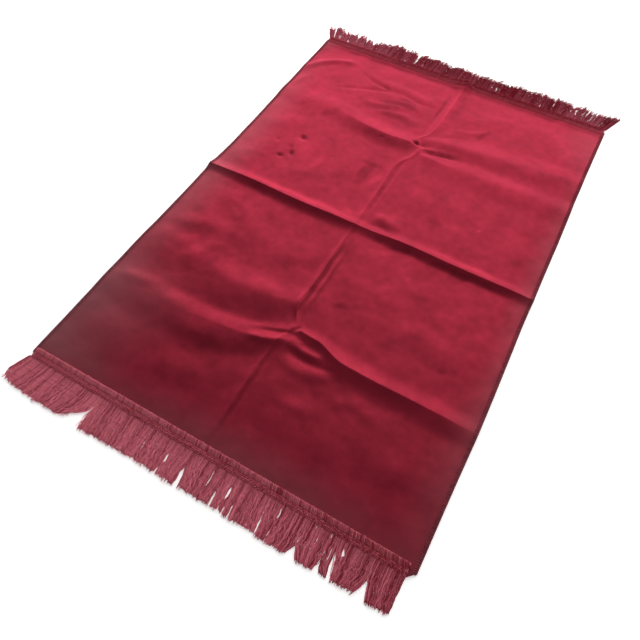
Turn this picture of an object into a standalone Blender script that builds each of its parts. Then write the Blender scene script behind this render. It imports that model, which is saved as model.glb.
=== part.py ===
"""Velvet prayer rug with a brush fringe at both ends, laid flat after being stored folded.

Metres, +Z up. X runs across the rug, Y along it, and the floor is z = 0 under its middle.
The cloth keeps the creases it was stored in: one fold across the middle, one across each
quarter and one down the centre line. Its underside follows them and lies on the floor between.
"""

import math
from collections import namedtuple

import bmesh
import bpy

MM = 0.001
GAP = 0.0003
SAME_PLACE = GAP / 10
SMOOTH_UP_TO = math.radians(40)

# Cloth
CLOTH_WIDTH = 0.700
CLOTH_LENGTH = 1.040
CLOTH_THICKNESS = 0.0025
CORNER_CUT = 0.005

# Overlocked bead along each long side
BEAD_WIDTH = 0.0030
BEAD_HEIGHT = 0.0024
BEAD_SHOULDER = 0.25

# Fringe heading: a knitted band that lies on the cloth's end, with a roll along its inner side
HEADING_WIDTH = 0.013
HEADING_ROLL_WIDTH = 0.0075
HEADING_ROLL_HEIGHT = 0.0026
HEADING_BAND_HEIGHT = 0.0016
HEADING_OVERHANG = 0.0005
HEADING_LEFT = -0.350
NEAR_HEADING_RIGHT = 0.341
FAR_HEADING_RIGHT = 0.3485

# The roll's flat top, as shares of its width from its inner side, and how high that side stands
ROLL_TOP_START = 0.25
ROLL_TOP_END = 0.80
ROLL_SIDE_HEIGHT = 0.5

# Fringe strands
STRAND_PITCH = 0.0053
STRAND_ROOT_WIDTH = 0.0046
STRAND_GAP = 0.0006
STRAND_SWAY = 0.00035
STRAND_LENGTH_SPREAD = 0.0022
LOCK_SIDE_SHORTENING = 0.06

# Steps in radians from one strand to the next that keep their sway and lengths uneven
SWAY_STEP = 2.4
LENGTH_STEP = 5.1
SLOW_LENGTH_STEP = 1.7

# Sheet rows and columns: close together at the creases, wide apart between them
CREASE_ROW_OFFSETS = (-0.050, -0.036, -0.024, -0.014, -0.006, 0.0, 0.006, 0.014, 0.024, 0.036, 0.050)
CREASE_COLUMN_OFFSETS = (-0.022, -0.012, -0.005, 0.0, 0.005, 0.012, 0.022)
OPEN_ROW_STEP = 0.034
OPEN_COLUMN_STEP = 0.030
WIDEST_IN_STEPS = 1.4
ROW_BEND_REACH = 0.110

# How far each long side stands out from a straight line, in mm, from the near end to the far one
SideBow = namedtuple("SideBow", "share left right")
SIDE_BOWS = (
    SideBow(0.00, 3.8, 1.7),
    SideBow(0.12, 3.8, 2.3),
    SideBow(0.24, 4.2, 3.8),
    SideBow(0.36, 2.3, 2.4),
    SideBow(0.46, 2.0, 0.8),
    SideBow(0.50, 2.6, 1.1),
    SideBow(0.56, -0.5, 0.8),
    SideBow(0.65, -1.4, 0.8),
    SideBow(0.78, -0.4, -1.1),
    SideBow(0.90, 0.0, -0.7),
    SideBow(1.00, 0.0, 0.0),
)

# A crest across the rug: x along it, its y, its height, and how far its slopes reach, in mm.
# Sharpness 1 is a pressed crease and 0 a soft wave.
Crest = namedtuple("Crest", "x y height near_reach far_reach sharpness")
MIDDLE_FOLD = (
    Crest(-360, 0, 4.5, 30, 30, 1.0),
    Crest(-250, 1, 6.5, 36, 32, 1.0),
    Crest(-130, -3, 7.5, 40, 32, 1.0),
    Crest(-40, -1, 6.5, 38, 34, 1.0),
    Crest(15, 0, 4.5, 32, 30, 1.0),
    Crest(90, 2, 6.0, 33, 30, 1.0),
    Crest(210, -1, 6.5, 31, 27, 1.0),
    Crest(360, 1, 4.0, 27, 23, 1.0),
)
NEAR_RIGHT_FOLD = (
    Crest(-4, -256, 0.0, 14, 12, 1.0),
    Crest(16, -258, 3.4, 30, 20, 1.0),
    Crest(60, -270, 6.0, 38, 27, 0.9),
    Crest(140, -278, 7.0, 38, 30, 0.8),
    Crest(250, -280, 5.5, 36, 29, 0.7),
    Crest(360, -282, 1.8, 32, 26, 0.5),
)
NEAR_LEFT_NEAR_WAVE = (
    Crest(-360, -337, 1.2, 46, 36, 0.0),
    Crest(-190, -331, 4.2, 54, 38, 0.1),
    Crest(-110, -322, 5.2, 50, 34, 0.3),
    Crest(-40, -308, 4.6, 40, 32, 0.6),
    Crest(8, -290, 2.4, 26, 20, 0.7),
    Crest(40, -284, 0.0, 16, 12, 0.7),
)
NEAR_LEFT_FAR_WAVE = (
    Crest(-360, -222, 0.6, 58, 44, 0.0),
    Crest(-230, -223, 2.4, 60, 44, 0.0),
    Crest(-120, -222, 3.6, 62, 42, 0.0),
    Crest(-50, -216, 3.4, 54, 40, 0.1),
    Crest(-12, -200, 1.4, 34, 30, 0.2),
    Crest(10, -190, 0.0, 20, 20, 0.2),
)
FAR_LEFT_FOLD = (
    Crest(-360, 286, 3.0, 20, 34, 0.6),
    Crest(-240, 286, 5.0, 26, 38, 0.7),
    Crest(-145, 284, 6.6, 42, 42, 0.8),
    Crest(-60, 277, 7.0, 52, 42, 0.9),
    Crest(-12, 277, 5.4, 48, 34, 1.0),
    Crest(16, 283, 0.0, 20, 18, 1.0),
)
FAR_RIGHT_FAR_WAVE = (
    Crest(-10, 296, 0.0, 12, 14, 0.5),
    Crest(20, 304, 1.8, 20, 24, 0.4),
    Crest(75, 318, 3.2, 38, 34, 0.3),
    Crest(180, 323, 4.2, 42, 44, 0.1),
    Crest(360, 328, 3.2, 42, 44, 0.0),
)
FAR_RIGHT_NEAR_WAVE = (
    Crest(0, 266, 0.0, 14, 12, 0.5),
    Crest(30, 258, 1.6, 24, 12, 0.4),
    Crest(75, 249, 3.2, 36, 22, 0.3),
    Crest(145, 242, 4.2, 44, 32, 0.2),
    Crest(360, 242, 3.0, 44, 36, 0.0),
)
ACROSS_FOLDS = (
    MIDDLE_FOLD,
    NEAR_RIGHT_FOLD,
    NEAR_LEFT_NEAR_WAVE,
    NEAR_LEFT_FAR_WAVE,
    FAR_LEFT_FOLD,
    FAR_RIGHT_FAR_WAVE,
    FAR_RIGHT_NEAR_WAVE,
)

# The crease down the centre line: y along it, its x, height and reach, in mm
Centre = namedtuple("Centre", "y x height reach")
CENTRE_CREASE = (
    Centre(-500, -9, 0.0, 10),
    Centre(-440, -9, 1.2, 14),
    Centre(-340, -9, 1.8, 14),
    Centre(-290, 0, 1.4, 12),
    Centre(-258, 10, 0.6, 10),
    Centre(-228, 5, 1.8, 13),
    Centre(-150, -5, 2.2, 14),
    Centre(-60, -6, 1.8, 13),
    Centre(-16, 1, 0.8, 12),
    Centre(40, -4, 1.2, 12),
    Centre(110, 0, 1.6, 13),
    Centre(220, 5, 1.8, 13),
    Centre(280, 8, 0.6, 12),
    Centre(330, 6, 1.8, 14),
    Centre(400, 9, 1.6, 14),
    Centre(460, 18, 1.4, 14),
    Centre(498, 26, 0.0, 12),
)

# The lines that the sheet's close rows follow, as x and y in mm
RowLine = namedtuple("RowLine", "x y")
NEAR_ROW_LINE = (
    RowLine(-360, -292),
    RowLine(-90, -288),
    RowLine(-20, -266),
    RowLine(16, -258),
    RowLine(60, -270),
    RowLine(140, -278),
    RowLine(360, -282),
)
FAR_ROW_LINE = (
    RowLine(-360, 286),
    RowLine(-145, 284),
    RowLine(-60, 277),
    RowLine(16, 276),
    RowLine(120, 277),
    RowLine(360, 285),
)
ROW_CENTRES = (-0.275, 0.0, 0.281)

# A lock of fringe: where its roots start and end, how far its tips lean to +X there, and its
# length, in mm. The leans of two neighbours differ where the fringe parts.
Lock = namedtuple("Lock", "start end start_lean end_lean length")
NEAR_LOCKS = (
    Lock(-350, -300, -10, -22, 60),
    Lock(-300, -214, -22, -29, 61),
    Lock(-214, -150, -2, 4, 62),
    Lock(-150, -89, 4, 2, 60),
    Lock(-89, -48, 4, -1, 62),
    Lock(-48, -18, 1, -1, 61),
    Lock(-18, 31, 6, 2, 64),
    Lock(31, 47, 3, 1, 62),
    Lock(47, 68, 6, 4, 60),
    Lock(68, 122, 9, 5, 62),
    Lock(122, 145, 8, 1, 63),
    Lock(145, 184, 4, 1, 65),
    Lock(184, 226, 9, 4, 63),
    Lock(226, 243, 12, 6, 63),
    Lock(243, 294, 12, 3, 62),
    Lock(294, 341, 11, 0, 61),
)
FAR_LOCKS = (
    Lock(-350, -330, -19, -11, 48),
    Lock(-330, -300, -7, -8, 50),
    Lock(-300, -270, -6, -4, 42),
    Lock(-270, -246, -3, -6, 52),
    Lock(-246, -224, -3, -2, 42),
    Lock(-224, -196, 0, -3, 56),
    Lock(-196, -142, 0, -4, 60),
    Lock(-142, -118, 0, -2, 57),
    Lock(-118, -50, 4, 4, 55),
    Lock(-50, 20, 4, 3, 54),
    Lock(20, 100, 5, 3, 54),
    Lock(100, 184, 4, 2, 56),
    Lock(184, 222, 4, 0, 61),
    Lock(222, 300, 4, 8, 57),
    Lock(300, 349, 10, 24, 60),
)

# A strand's sections: how far along it, how much of its lean is taken up, its width as a share
# of the root's, and its lower and upper face, in mm above the floor
Section = namedtuple("Section", "along lean width low high")
STRAND_SECTIONS = (
    Section(0.15, 0.06, 1.00, 0.0, 2.1),
    Section(0.60, 0.48, 0.95, 0.0, 2.0),
    Section(1.00, 1.00, 0.72, 0.0, 1.3),
)

Finish = namedtuple("Finish", "colour roughness")
VELVET = Finish((0.30, 0.012, 0.028, 1.0), 0.72)
OVERLOCK_THREAD = Finish((0.16, 0.010, 0.018, 1.0), 0.80)
FRINGE_YARN = Finish((0.27, 0.045, 0.060, 1.0), 0.78)


def ease(t):
    """A smooth step from 0 to 1."""
    t = min(1.0, max(0.0, t))
    return t * t * (3.0 - 2.0 * t)


def read_table(rows, where, *columns):
    """The named columns of a table at a place along its first column, smoothly between rows."""
    first = rows[0]._fields[0]
    if where <= getattr(rows[0], first):
        return [getattr(rows[0], name) for name in columns]
    for low, high in zip(rows, rows[1:]):
        start, end = getattr(low, first), getattr(high, first)
        if where <= end:
            share = ease((where - start) / (end - start))
            return [
                getattr(low, name) + share * (getattr(high, name) - getattr(low, name))
                for name in columns
            ]
    return [getattr(rows[-1], name) for name in columns]


def slope(share, sharpness):
    """Height of a fold's side, 1 at its crest and 0 at its foot."""
    if share >= 1.0:
        return 0.0
    pressed = (1.0 - share) ** 2
    wave = 0.5 + 0.5 * math.cos(math.pi * share)
    return sharpness * pressed + (1.0 - sharpness) * wave


def fold_lift(fold, x, y):
    """How high one fold across the rug lifts the cloth, all in mm."""
    if not fold[0].x <= x <= fold[-1].x:
        return 0.0
    crest_y, height, near, far, sharpness = read_table(
        fold, x, "y", "height", "near_reach", "far_reach", "sharpness"
    )
    reach = far if y > crest_y else near
    return height * slope(abs(y - crest_y) / reach, sharpness)


def centre_lift(x, y):
    """How high the centre crease lifts the cloth, all in mm."""
    crest_x, height, reach = read_table(CENTRE_CREASE, y, "x", "height", "reach")
    return height * slope(abs(x - crest_x) / reach, 1.0)


def lift(x, y):
    """How high the underside of the cloth is off the floor."""
    along, across = x / MM, y / MM
    total = sum(fold_lift(fold, along, across) for fold in ACROSS_FOLDS)
    return (total + centre_lift(along, across)) * MM


def side(y, sign):
    """The x of the cloth's long side at y: sign is -1 at the left and +1 at the right."""
    share = y / CLOTH_LENGTH + 0.5
    bow = read_table(SIDE_BOWS, share, "left" if sign < 0 else "right")[0] * MM
    from_end = CLOTH_LENGTH / 2 - abs(y)
    cut = max(0.0, CORNER_CUT - from_end)
    return sign * (CLOTH_WIDTH / 2 + bow - cut)


def spread(start, end, step):
    """Even places between two that are already taken."""
    count = max(1, round((end - start) / step))
    return [start + (end - start) * index / count for index in range(1, count)]


def stations(centres, offsets, half, step):
    """Places along one side of the sheet: close about each crease, even between them."""
    taken = [centre + offset for centre in centres for offset in offsets]
    taken = [-half, CORNER_CUT - half, *taken, half - CORNER_CUT, half]
    between = [
        place
        for low, high in zip(taken, taken[1:])
        if high - low > WIDEST_IN_STEPS * step
        for place in spread(low, high, step)
    ]
    return sorted(taken + between)


def bent_row(x, row):
    """The y of a sheet row at x, so that close rows run along the creases."""
    moved = row
    for centre, line in ((ROW_CENTRES[0], NEAR_ROW_LINE), (ROW_CENTRES[2], FAR_ROW_LINE)):
        away = read_table(line, x / MM, "y")[0] * MM - centre
        moved += away * (1.0 - ease(abs(row - centre) / ROW_BEND_REACH))
    return moved


def new_object(name, mesh_builder, finish):
    """One named object, its mesh closed and facing out, in its own material."""
    bm = bmesh.new()
    mesh_builder(bm)
    bmesh.ops.recalc_face_normals(bm, faces=bm.faces[:])
    mesh = bpy.data.meshes.new(name)
    bm.to_mesh(mesh)
    bm.free()
    mesh.shade_smooth()
    mesh.set_sharp_from_angle(angle=SMOOTH_UP_TO)
    material = bpy.data.materials.new(name + "_finish")
    material.use_nodes = True
    shader = material.node_tree.nodes["Principled BSDF"]
    shader.inputs["Base Color"].default_value = finish.colour
    shader.inputs["Roughness"].default_value = finish.roughness
    mesh.materials.append(material)
    obj = bpy.data.objects.new(name, mesh)
    bpy.context.scene.collection.objects.link(obj)
    return obj


def build_cloth(bm):
    """The velvet sheet: a grid on the folds, drawn up by the cloth's thickness."""
    rows = stations(ROW_CENTRES, CREASE_ROW_OFFSETS, CLOTH_LENGTH / 2, OPEN_ROW_STEP)
    columns = stations((0.0,), CREASE_COLUMN_OFFSETS, CLOTH_WIDTH / 2, OPEN_COLUMN_STEP)
    bmesh.ops.create_grid(
        bm, x_segments=len(columns) - 1, y_segments=len(rows) - 1, size=0.5
    )
    for vert in bm.verts:
        column = columns[round((vert.co.x + 0.5) * (len(columns) - 1))]
        row = rows[round((vert.co.y + 0.5) * (len(rows) - 1))]
        y = bent_row(column, row)
        left, right = side(y, -1), side(y, 1)
        x = left + (right - left) * (column / CLOTH_WIDTH + 0.5)
        vert.co = (x, y, lift(x, y))
    drawn = bmesh.ops.extrude_face_region(bm, geom=bm.faces[:], use_keep_orig=True)
    upper = [item for item in drawn["geom"] if isinstance(item, bmesh.types.BMVert)]
    bmesh.ops.translate(bm, verts=upper, vec=(0.0, 0.0, CLOTH_THICKNESS))


def build_bead(bm, sign):
    """The overlocked bead of one long side: its section swept along the cloth's edge."""
    rows = stations(ROW_CENTRES, CREASE_ROW_OFFSETS, CLOTH_LENGTH / 2, OPEN_ROW_STEP)
    shoulder = BEAD_SHOULDER * BEAD_HEIGHT
    section = (
        (0.0, 0.0),
        (BEAD_WIDTH - shoulder, 0.0),
        (BEAD_WIDTH, shoulder),
        (BEAD_WIDTH, BEAD_HEIGHT - 2 * shoulder),
        (BEAD_WIDTH / 2, BEAD_HEIGHT),
        (0.0, BEAD_HEIGHT),
    )
    edge = sign * CLOTH_WIDTH / 2
    places = [bent_row(edge, row) for row in rows]
    loop = [bm.verts.new((out, places[0], up)) for out, up in section]
    face = bm.faces.new(loop)
    for y in places:
        if y != places[0]:
            face = bmesh.ops.extrude_discrete_faces(bm, faces=[face])["faces"][0]
        foot = side(y, sign)
        height = lift(foot, y)
        for vert, (out, up) in zip(face.verts, section):
            vert.co = (foot + sign * (GAP + out), y, height + up)
    bm.faces.new(loop)


def strand_roots(locks, right_end):
    """(centre, lean, length) of each strand, in order along the heading."""
    count = int((right_end - HEADING_LEFT) / STRAND_PITCH)
    margin = (right_end - HEADING_LEFT - (count - 1) * STRAND_PITCH) / 2
    roots = []
    for index in range(count):
        centre = HEADING_LEFT + margin + index * STRAND_PITCH
        lock = next((row for row in locks if centre / MM < row.end), locks[-1])
        share = (centre / MM - lock.start) / (lock.end - lock.start)
        lean = lock.start_lean + share * (lock.end_lean - lock.start_lean)
        lean = lean * MM + STRAND_SWAY * math.sin(index * SWAY_STEP)
        length = lock.length * MM * (1.0 - LOCK_SIDE_SHORTENING * (2 * share - 1) ** 4)
        uneven = math.sin(index * LENGTH_STEP) * math.sin(index * SLOW_LENGTH_STEP)
        length += STRAND_LENGTH_SPREAD * uneven
        roots.append((centre, lean, length))
    return roots


def strand_sides(roots, index, section):
    """The left and right x of a strand's section, kept clear of the strands beside it."""
    middles = [centre + lean * section.lean for centre, lean, _ in roots]
    beside = [middles[near] for near in (index - 1, index + 1) if 0 <= near < len(roots)]
    room = min(abs(middles[index] - other) for other in beside) - STRAND_GAP
    half = min(STRAND_ROOT_WIDTH * section.width, room) / 2
    return middles[index] - half, middles[index] + half


def build_fringe(bm, sign, locks, right_end):
    """A heading band with its strands: sign is -1 at the near end and +1 at the far one."""
    base = CLOTH_THICKNESS + GAP
    roll = base + HEADING_ROLL_HEIGHT
    band = base + HEADING_BAND_HEIGHT
    outer = sign * (CLOTH_LENGTH / 2 + HEADING_OVERHANG)
    inner = outer - sign * (HEADING_WIDTH + HEADING_OVERHANG)
    profile = (
        (outer, base),
        (outer, band),
        (inner + sign * HEADING_ROLL_WIDTH, band),
        (inner + sign * HEADING_ROLL_WIDTH * ROLL_TOP_END, roll),
        (inner + sign * HEADING_ROLL_WIDTH * ROLL_TOP_START, roll),
        (inner, base + HEADING_ROLL_HEIGHT * ROLL_SIDE_HEIGHT),
        (inner, base),
    )
    start = [bm.verts.new((HEADING_LEFT, y, z)) for y, z in profile]
    end_face = bm.faces.new(start)
    drawn = bmesh.ops.extrude_face_region(bm, geom=[end_face], use_keep_orig=True)
    moved = [item for item in drawn["geom"] if isinstance(item, bmesh.types.BMVert)]
    bmesh.ops.translate(bm, verts=moved, vec=(right_end - HEADING_LEFT, 0.0, 0.0))

    roots = strand_roots(locks, right_end)
    outer_edges = [
        edge
        for edge in bm.edges
        if all(abs(vert.co.y - outer) < SAME_PLACE for vert in edge.verts)
        and edge.calc_length() > HEADING_WIDTH
    ]
    bmesh.ops.subdivide_edges(
        bm, edges=outer_edges, cuts=2 * len(roots), use_grid_fill=True
    )
    half = STRAND_ROOT_WIDTH / 2
    splits = [HEADING_LEFT]
    for centre, _, _ in roots:
        splits += [centre - half, centre + half]
    splits.append(right_end)
    cells = len(splits) - 1
    for vert in bm.verts:
        if abs(vert.co.y - outer) < SAME_PLACE:
            share = (vert.co.x - HEADING_LEFT) / (right_end - HEADING_LEFT)
            vert.co.x = splits[round(share * cells)]
    faces = [
        face
        for face in bm.faces
        if all(abs(vert.co.y - outer) < SAME_PLACE for vert in face.verts)
    ]
    faces.sort(key=lambda face: face.calc_center_median().x)
    for index, face in enumerate(faces[1::2]):
        _, _, length = roots[index]
        for section in STRAND_SECTIONS:
            face = bmesh.ops.extrude_discrete_faces(bm, faces=[face])["faces"][0]
            left, right = strand_sides(roots, index, section)
            places = ((left, section.low), (left, section.high),
                      (right, section.low), (right, section.high))
            corners = sorted(face.verts, key=lambda vert: (round(vert.co.x, 6), vert.co.z))
            for vert, (x, height) in zip(corners, places):
                vert.co = (x, outer + sign * length * section.along, height * MM)


def main():
    for obj in list(bpy.data.objects):
        bpy.data.objects.remove(obj)
    new_object("rug_body", build_cloth, VELVET)
    new_object("edging_left", lambda bm: build_bead(bm, -1), OVERLOCK_THREAD)
    new_object("edging_right", lambda bm: build_bead(bm, 1), OVERLOCK_THREAD)
    new_object(
        "fringe_near",
        lambda bm: build_fringe(bm, -1, NEAR_LOCKS, NEAR_HEADING_RIGHT),
        FRINGE_YARN,
    )
    new_object(
        "fringe_far",
        lambda bm: build_fringe(bm, 1, FAR_LOCKS, FAR_HEADING_RIGHT),
        FRINGE_YARN,
    )


main()
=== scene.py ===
"""Velvet prayer rug with a brush fringe at both ends, laid flat after being stored folded.

Metres, +Z up. X runs across the rug, Y along it and z = 0 is the surface that it lies on. The
tables are in millimetres, from the rug's middle.
"""

import logging
import math
from collections.abc import Sequence
from dataclasses import dataclass
from enum import Enum
from typing import Any, NamedTuple

import bmesh
import bpy
import numpy as np
from mathutils import Matrix, Vector, noise


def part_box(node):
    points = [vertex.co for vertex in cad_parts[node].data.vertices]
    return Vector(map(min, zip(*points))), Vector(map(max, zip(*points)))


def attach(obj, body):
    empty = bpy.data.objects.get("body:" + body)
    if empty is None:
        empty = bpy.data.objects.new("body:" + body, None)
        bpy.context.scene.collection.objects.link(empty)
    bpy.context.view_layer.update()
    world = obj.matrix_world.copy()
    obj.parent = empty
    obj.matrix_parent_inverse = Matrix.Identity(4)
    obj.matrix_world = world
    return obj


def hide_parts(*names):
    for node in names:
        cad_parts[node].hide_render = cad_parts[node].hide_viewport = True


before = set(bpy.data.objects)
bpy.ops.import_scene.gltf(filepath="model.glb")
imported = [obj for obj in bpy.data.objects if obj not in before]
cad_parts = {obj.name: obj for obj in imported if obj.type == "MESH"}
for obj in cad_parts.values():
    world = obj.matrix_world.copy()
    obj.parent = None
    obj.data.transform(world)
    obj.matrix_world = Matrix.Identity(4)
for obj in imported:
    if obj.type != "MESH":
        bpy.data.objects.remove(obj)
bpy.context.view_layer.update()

LOG = logging.getLogger("prayer_rug")
MM = 0.001
TURN = 2.0 * math.pi
# What is shorter than this counts as nothing, so that no direction is divided by 0.
TINY = 1e-9
# A stretch of the cloth is read at this many places to add up how close its rows have to be.
FINE_PLACES = 400

# The cloth's width in metres, and where the trims start and stop, in millimetres from its middle
CLOTH_WIDTH = 0.700
TRIMS_LEFT = -350.0
NEAR_TRIM_RIGHT = 341.0
FAR_FRINGE_RIGHT = 349.0
FAR_HEADING_RIGHT = 348.5


# ---------------------------------------------------------------- tables


class Crest(NamedTuple):
    """A place on a fold that crosses the rug: its crest, and how far its two slopes reach.

    Sharpness 1 is a pressed crease and 0 a soft wave.
    """

    x: float
    y: float
    height: float
    near_reach: float
    far_reach: float
    sharpness: float


class Centre(NamedTuple):
    """A place on a crease down the rug's centre line: its crest and how far its sides reach."""

    y: float
    x: float
    height: float
    left_reach: float
    right_reach: float


class Wrinkle(NamedTuple):
    """A small ridge, or a trough where its height is below 0, along a line of places."""

    height: float
    reach: float
    sharpness: float
    line: tuple[tuple[float, float], ...]


class Swell(NamedTuple):
    """A soft rise, or a hollow where its height is below 0, turned by an angle in degrees."""

    x: float
    y: float
    height: float
    long_reach: float
    short_reach: float
    angle: float


class SideBow(NamedTuple):
    """How far each long side stands out from a straight line, at a share of the length."""

    share: float
    left: float
    right: float


class Blotch(NamedTuple):
    """A patch of the pile's tone, lighter above 0 and darker below. Many are painted shade and light.

    Softness is the share of its reach over which it fades out.
    """

    x: float
    y: float
    tone: float
    long_reach: float
    short_reach: float
    angle: float
    softness: float


class Shade(NamedTuple):
    """How much lighter, or darker below 0, the yarns are at a place across the rug."""

    x: float
    tone: float


class Lock(NamedTuple):
    """Fringe yarns that lie together: their roots, and at both sides their tips' lean and reach.

    Bend 1 is a straight lean, and a higher one keeps the lean for the tips.
    """

    start: float
    end: float
    start_lean: float
    end_lean: float
    start_length: float
    end_length: float
    start_bend: float = 1.3
    end_bend: float = 1.3


class End(Enum):
    """One of the rug's short ends. Its value is the way along Y that points outwards."""

    NEAR = -1
    FAR = 1


class Side(Enum):
    """One of the rug's long sides. Its value is the way along X that points outwards."""

    LEFT = -1
    RIGHT = 1


class CrossFold(Enum):
    """A fold line across the rug. Its value is about where it lies along the rug, in metres."""

    NEAR = -0.275
    MIDDLE = 0.0
    FAR = 0.281


class Parting(Enum):
    """How the yarns part at a slit: they meet again, stay apart, or spread in a V to the tips."""

    MEETS_AGAIN = "meets again"
    STAYS_OPEN = "stays open"
    NOTCH = "notch"


class Slit(NamedTuple):
    """Where fringe yarns part and the floor shows: its line, from root side to tip side.

    The places are how far across the rug and how far out from the heading.
    """

    start_x: float
    stop_x: float
    start: float
    stop: float
    width: float
    parting: Parting


class SoftLight(NamedTuple):
    """A soft white light: where it hangs, its width and height in metres, and its watts."""

    name: str
    place: tuple[float, float, float]
    size: tuple[float, float]
    watts: float


CLOSES, OPEN, NOTCH = Parting.MEETS_AGAIN, Parting.STAYS_OPEN, Parting.NOTCH

# Where waves are grouped the highest one counts, so that the valley between two is a crisp line.
FOLDS = {
    "middle": (
        (
            Crest(-360, 0, 4.9, 20, 24, 0.9),
            Crest(-250, 1, 7.4, 23, 27, 0.9),
            Crest(-130, -3, 8.2, 25, 28, 0.9),
            Crest(-40, -1, 7.2, 25, 30, 0.9),
            Crest(15, 0, 5.4, 22, 24, 0.9),
            Crest(90, 2, 7.6, 22, 26, 0.85),
            Crest(210, -1, 7.9, 22, 26, 0.85),
            Crest(310, 0, 6.4, 20, 24, 0.85),
            Crest(360, 1, 3.6, 22, 22, 0.9),
        ),
    ),
    "near right": (
        (
            Crest(-4, -258, 0.0, 14, 12, 1.0),
            Crest(16, -260, 3.4, 24, 16, 1.0),
            Crest(40, -263, 5.4, 28, 18, 1.0),
            Crest(64, -266, 6.4, 31, 22, 0.9),
            Crest(84, -274, 6.8, 33, 26, 0.9),
            Crest(104, -281, 7.2, 35, 28, 0.8),
            Crest(140, -284, 7.2, 35, 28, 0.8),
            Crest(250, -285, 6.2, 35, 29, 0.7),
            Crest(318, -286, 4.6, 35, 27, 0.35),
            Crest(360, -287, 1.6, 32, 26, 0.0),
        ),
    ),
    "near left": (
        (
            Crest(-360, -331, 0.9, 46, 44, 0.0),
            Crest(-290, -328, 2.2, 54, 42, 0.0),
            Crest(-190, -326, 4.6, 62, 40, 0.0),
            Crest(-110, -320, 5.6, 62, 38, 0.1),
            Crest(-40, -307, 5.2, 46, 32, 0.2),
            Crest(8, -288, 2.8, 26, 20, 0.5),
            Crest(40, -284, 0.0, 16, 12, 0.7),
        ),
        (
            Crest(-360, -218, 0.8, 82, 44, 0.0),
            Crest(-230, -221, 2.7, 88, 44, 0.1),
            Crest(-120, -228, 5.8, 80, 46, 0.35),
            Crest(-60, -222, 6.4, 66, 48, 0.4),
            Crest(-12, -212, 3.6, 46, 38, 0.3),
            Crest(10, -202, 0.0, 30, 26, 0.2),
        ),
    ),
    "far left": (
        (
            Crest(-360, 288, 1.6, 34, 40, 0.0),
            Crest(-240, 287, 2.8, 38, 44, 0.1),
            Crest(-190, 284, 4.0, 40, 46, 0.3),
            Crest(-150, 273, 6.2, 38, 46, 0.4),
            Crest(-120, 267, 7.4, 36, 46, 0.5),
            Crest(-60, 262, 7.8, 37, 46, 0.5),
            Crest(-14, 267, 6.4, 34, 34, 0.6),
            Crest(14, 274, 0.0, 20, 18, 1.0),
        ),
    ),
    "far right": (
        (
            Crest(-10, 290, 0.0, 12, 14, 0.5),
            Crest(20, 294, 2.4, 20, 24, 0.5),
            Crest(75, 302, 5.0, 30, 38, 0.5),
            Crest(180, 309, 4.8, 42, 46, 0.2),
            Crest(360, 322, 3.6, 50, 46, 0.0),
        ),
        (
            Crest(0, 258, 0.0, 14, 12, 0.5),
            Crest(30, 246, 2.0, 24, 18, 0.5),
            Crest(75, 240, 3.6, 40, 28, 0.4),
            Crest(145, 238, 4.6, 50, 40, 0.2),
            Crest(360, 238, 3.4, 50, 40, 0.0),
        ),
    ),
    "far seam": (
        (
            Crest(-360, 503, 1.4, 14, 8, 0.0),
            Crest(-200, 503, 1.9, 14, 8, 0.0),
            Crest(0, 503, 1.6, 13, 8, 0.0),
            Crest(200, 504, 1.5, 12, 8, 0.0),
            Crest(360, 504, 1.2, 12, 8, 0.0),
        ),
    ),
}

CENTRE_LINE = (
    Centre(-512, -8, 0.0, 12, 10),
    Centre(-440, -9, 1.4, 16, 12),
    Centre(-340, -9, 2.0, 16, 12),
    Centre(-296, -6, 1.8, 14, 10),
    Centre(-270, 2, 1.2, 12, 10),
    Centre(-246, 2, 1.0, 10, 8),
    Centre(-226, -8, 2.0, 15, 9),
    Centre(-150, -9, 2.3, 17, 9),
    Centre(-60, -11, 2.1, 16, 9),
    Centre(-16, -10, 1.0, 14, 9),
    Centre(40, -10, 1.6, 14, 8),
    Centre(110, -9, 2.0, 16, 8),
    Centre(205, -5, 2.0, 16, 9),
    Centre(232, 9, 1.8, 15, 10),
    Centre(262, 14, 1.6, 14, 10),
    Centre(288, -2, 1.4, 10, 12),
    Centre(310, 12, 1.8, 12, 14),
    Centre(336, 19, 2.0, 15, 18),
    Centre(400, 22, 2.6, 17, 24),
    Centre(470, 23, 3.4, 17, 22),
    Centre(505, 23, 6.4, 36, 24),
    Centre(530, 22, 6.8, 36, 26),
)

CENTRE_SECOND_LINE = (
    Centre(-512, 6, 0.0, 5, 8),
    Centre(-420, 5, 0.6, 5, 9),
    Centre(-320, 6, 0.8, 5, 9),
    Centre(-262, 14, 0.0, 5, 8),
    Centre(-226, 8, 1.0, 5, 9),
    Centre(-110, 5, 1.3, 5, 9),
    Centre(-30, 4, 1.1, 5, 10),
    Centre(0, 4, 0.3, 5, 9),
    Centre(60, 4, 1.1, 5, 9),
    Centre(200, 6, 1.2, 5, 9),
    Centre(262, 9, 0.2, 5, 9),
    Centre(300, 3, -0.8, 7, 6),
    Centre(395, 4, -1.7, 7, 6),
    Centre(440, 3, -1.3, 7, 6),
    Centre(500, 4, 0.0, 7, 6),
)

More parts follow.
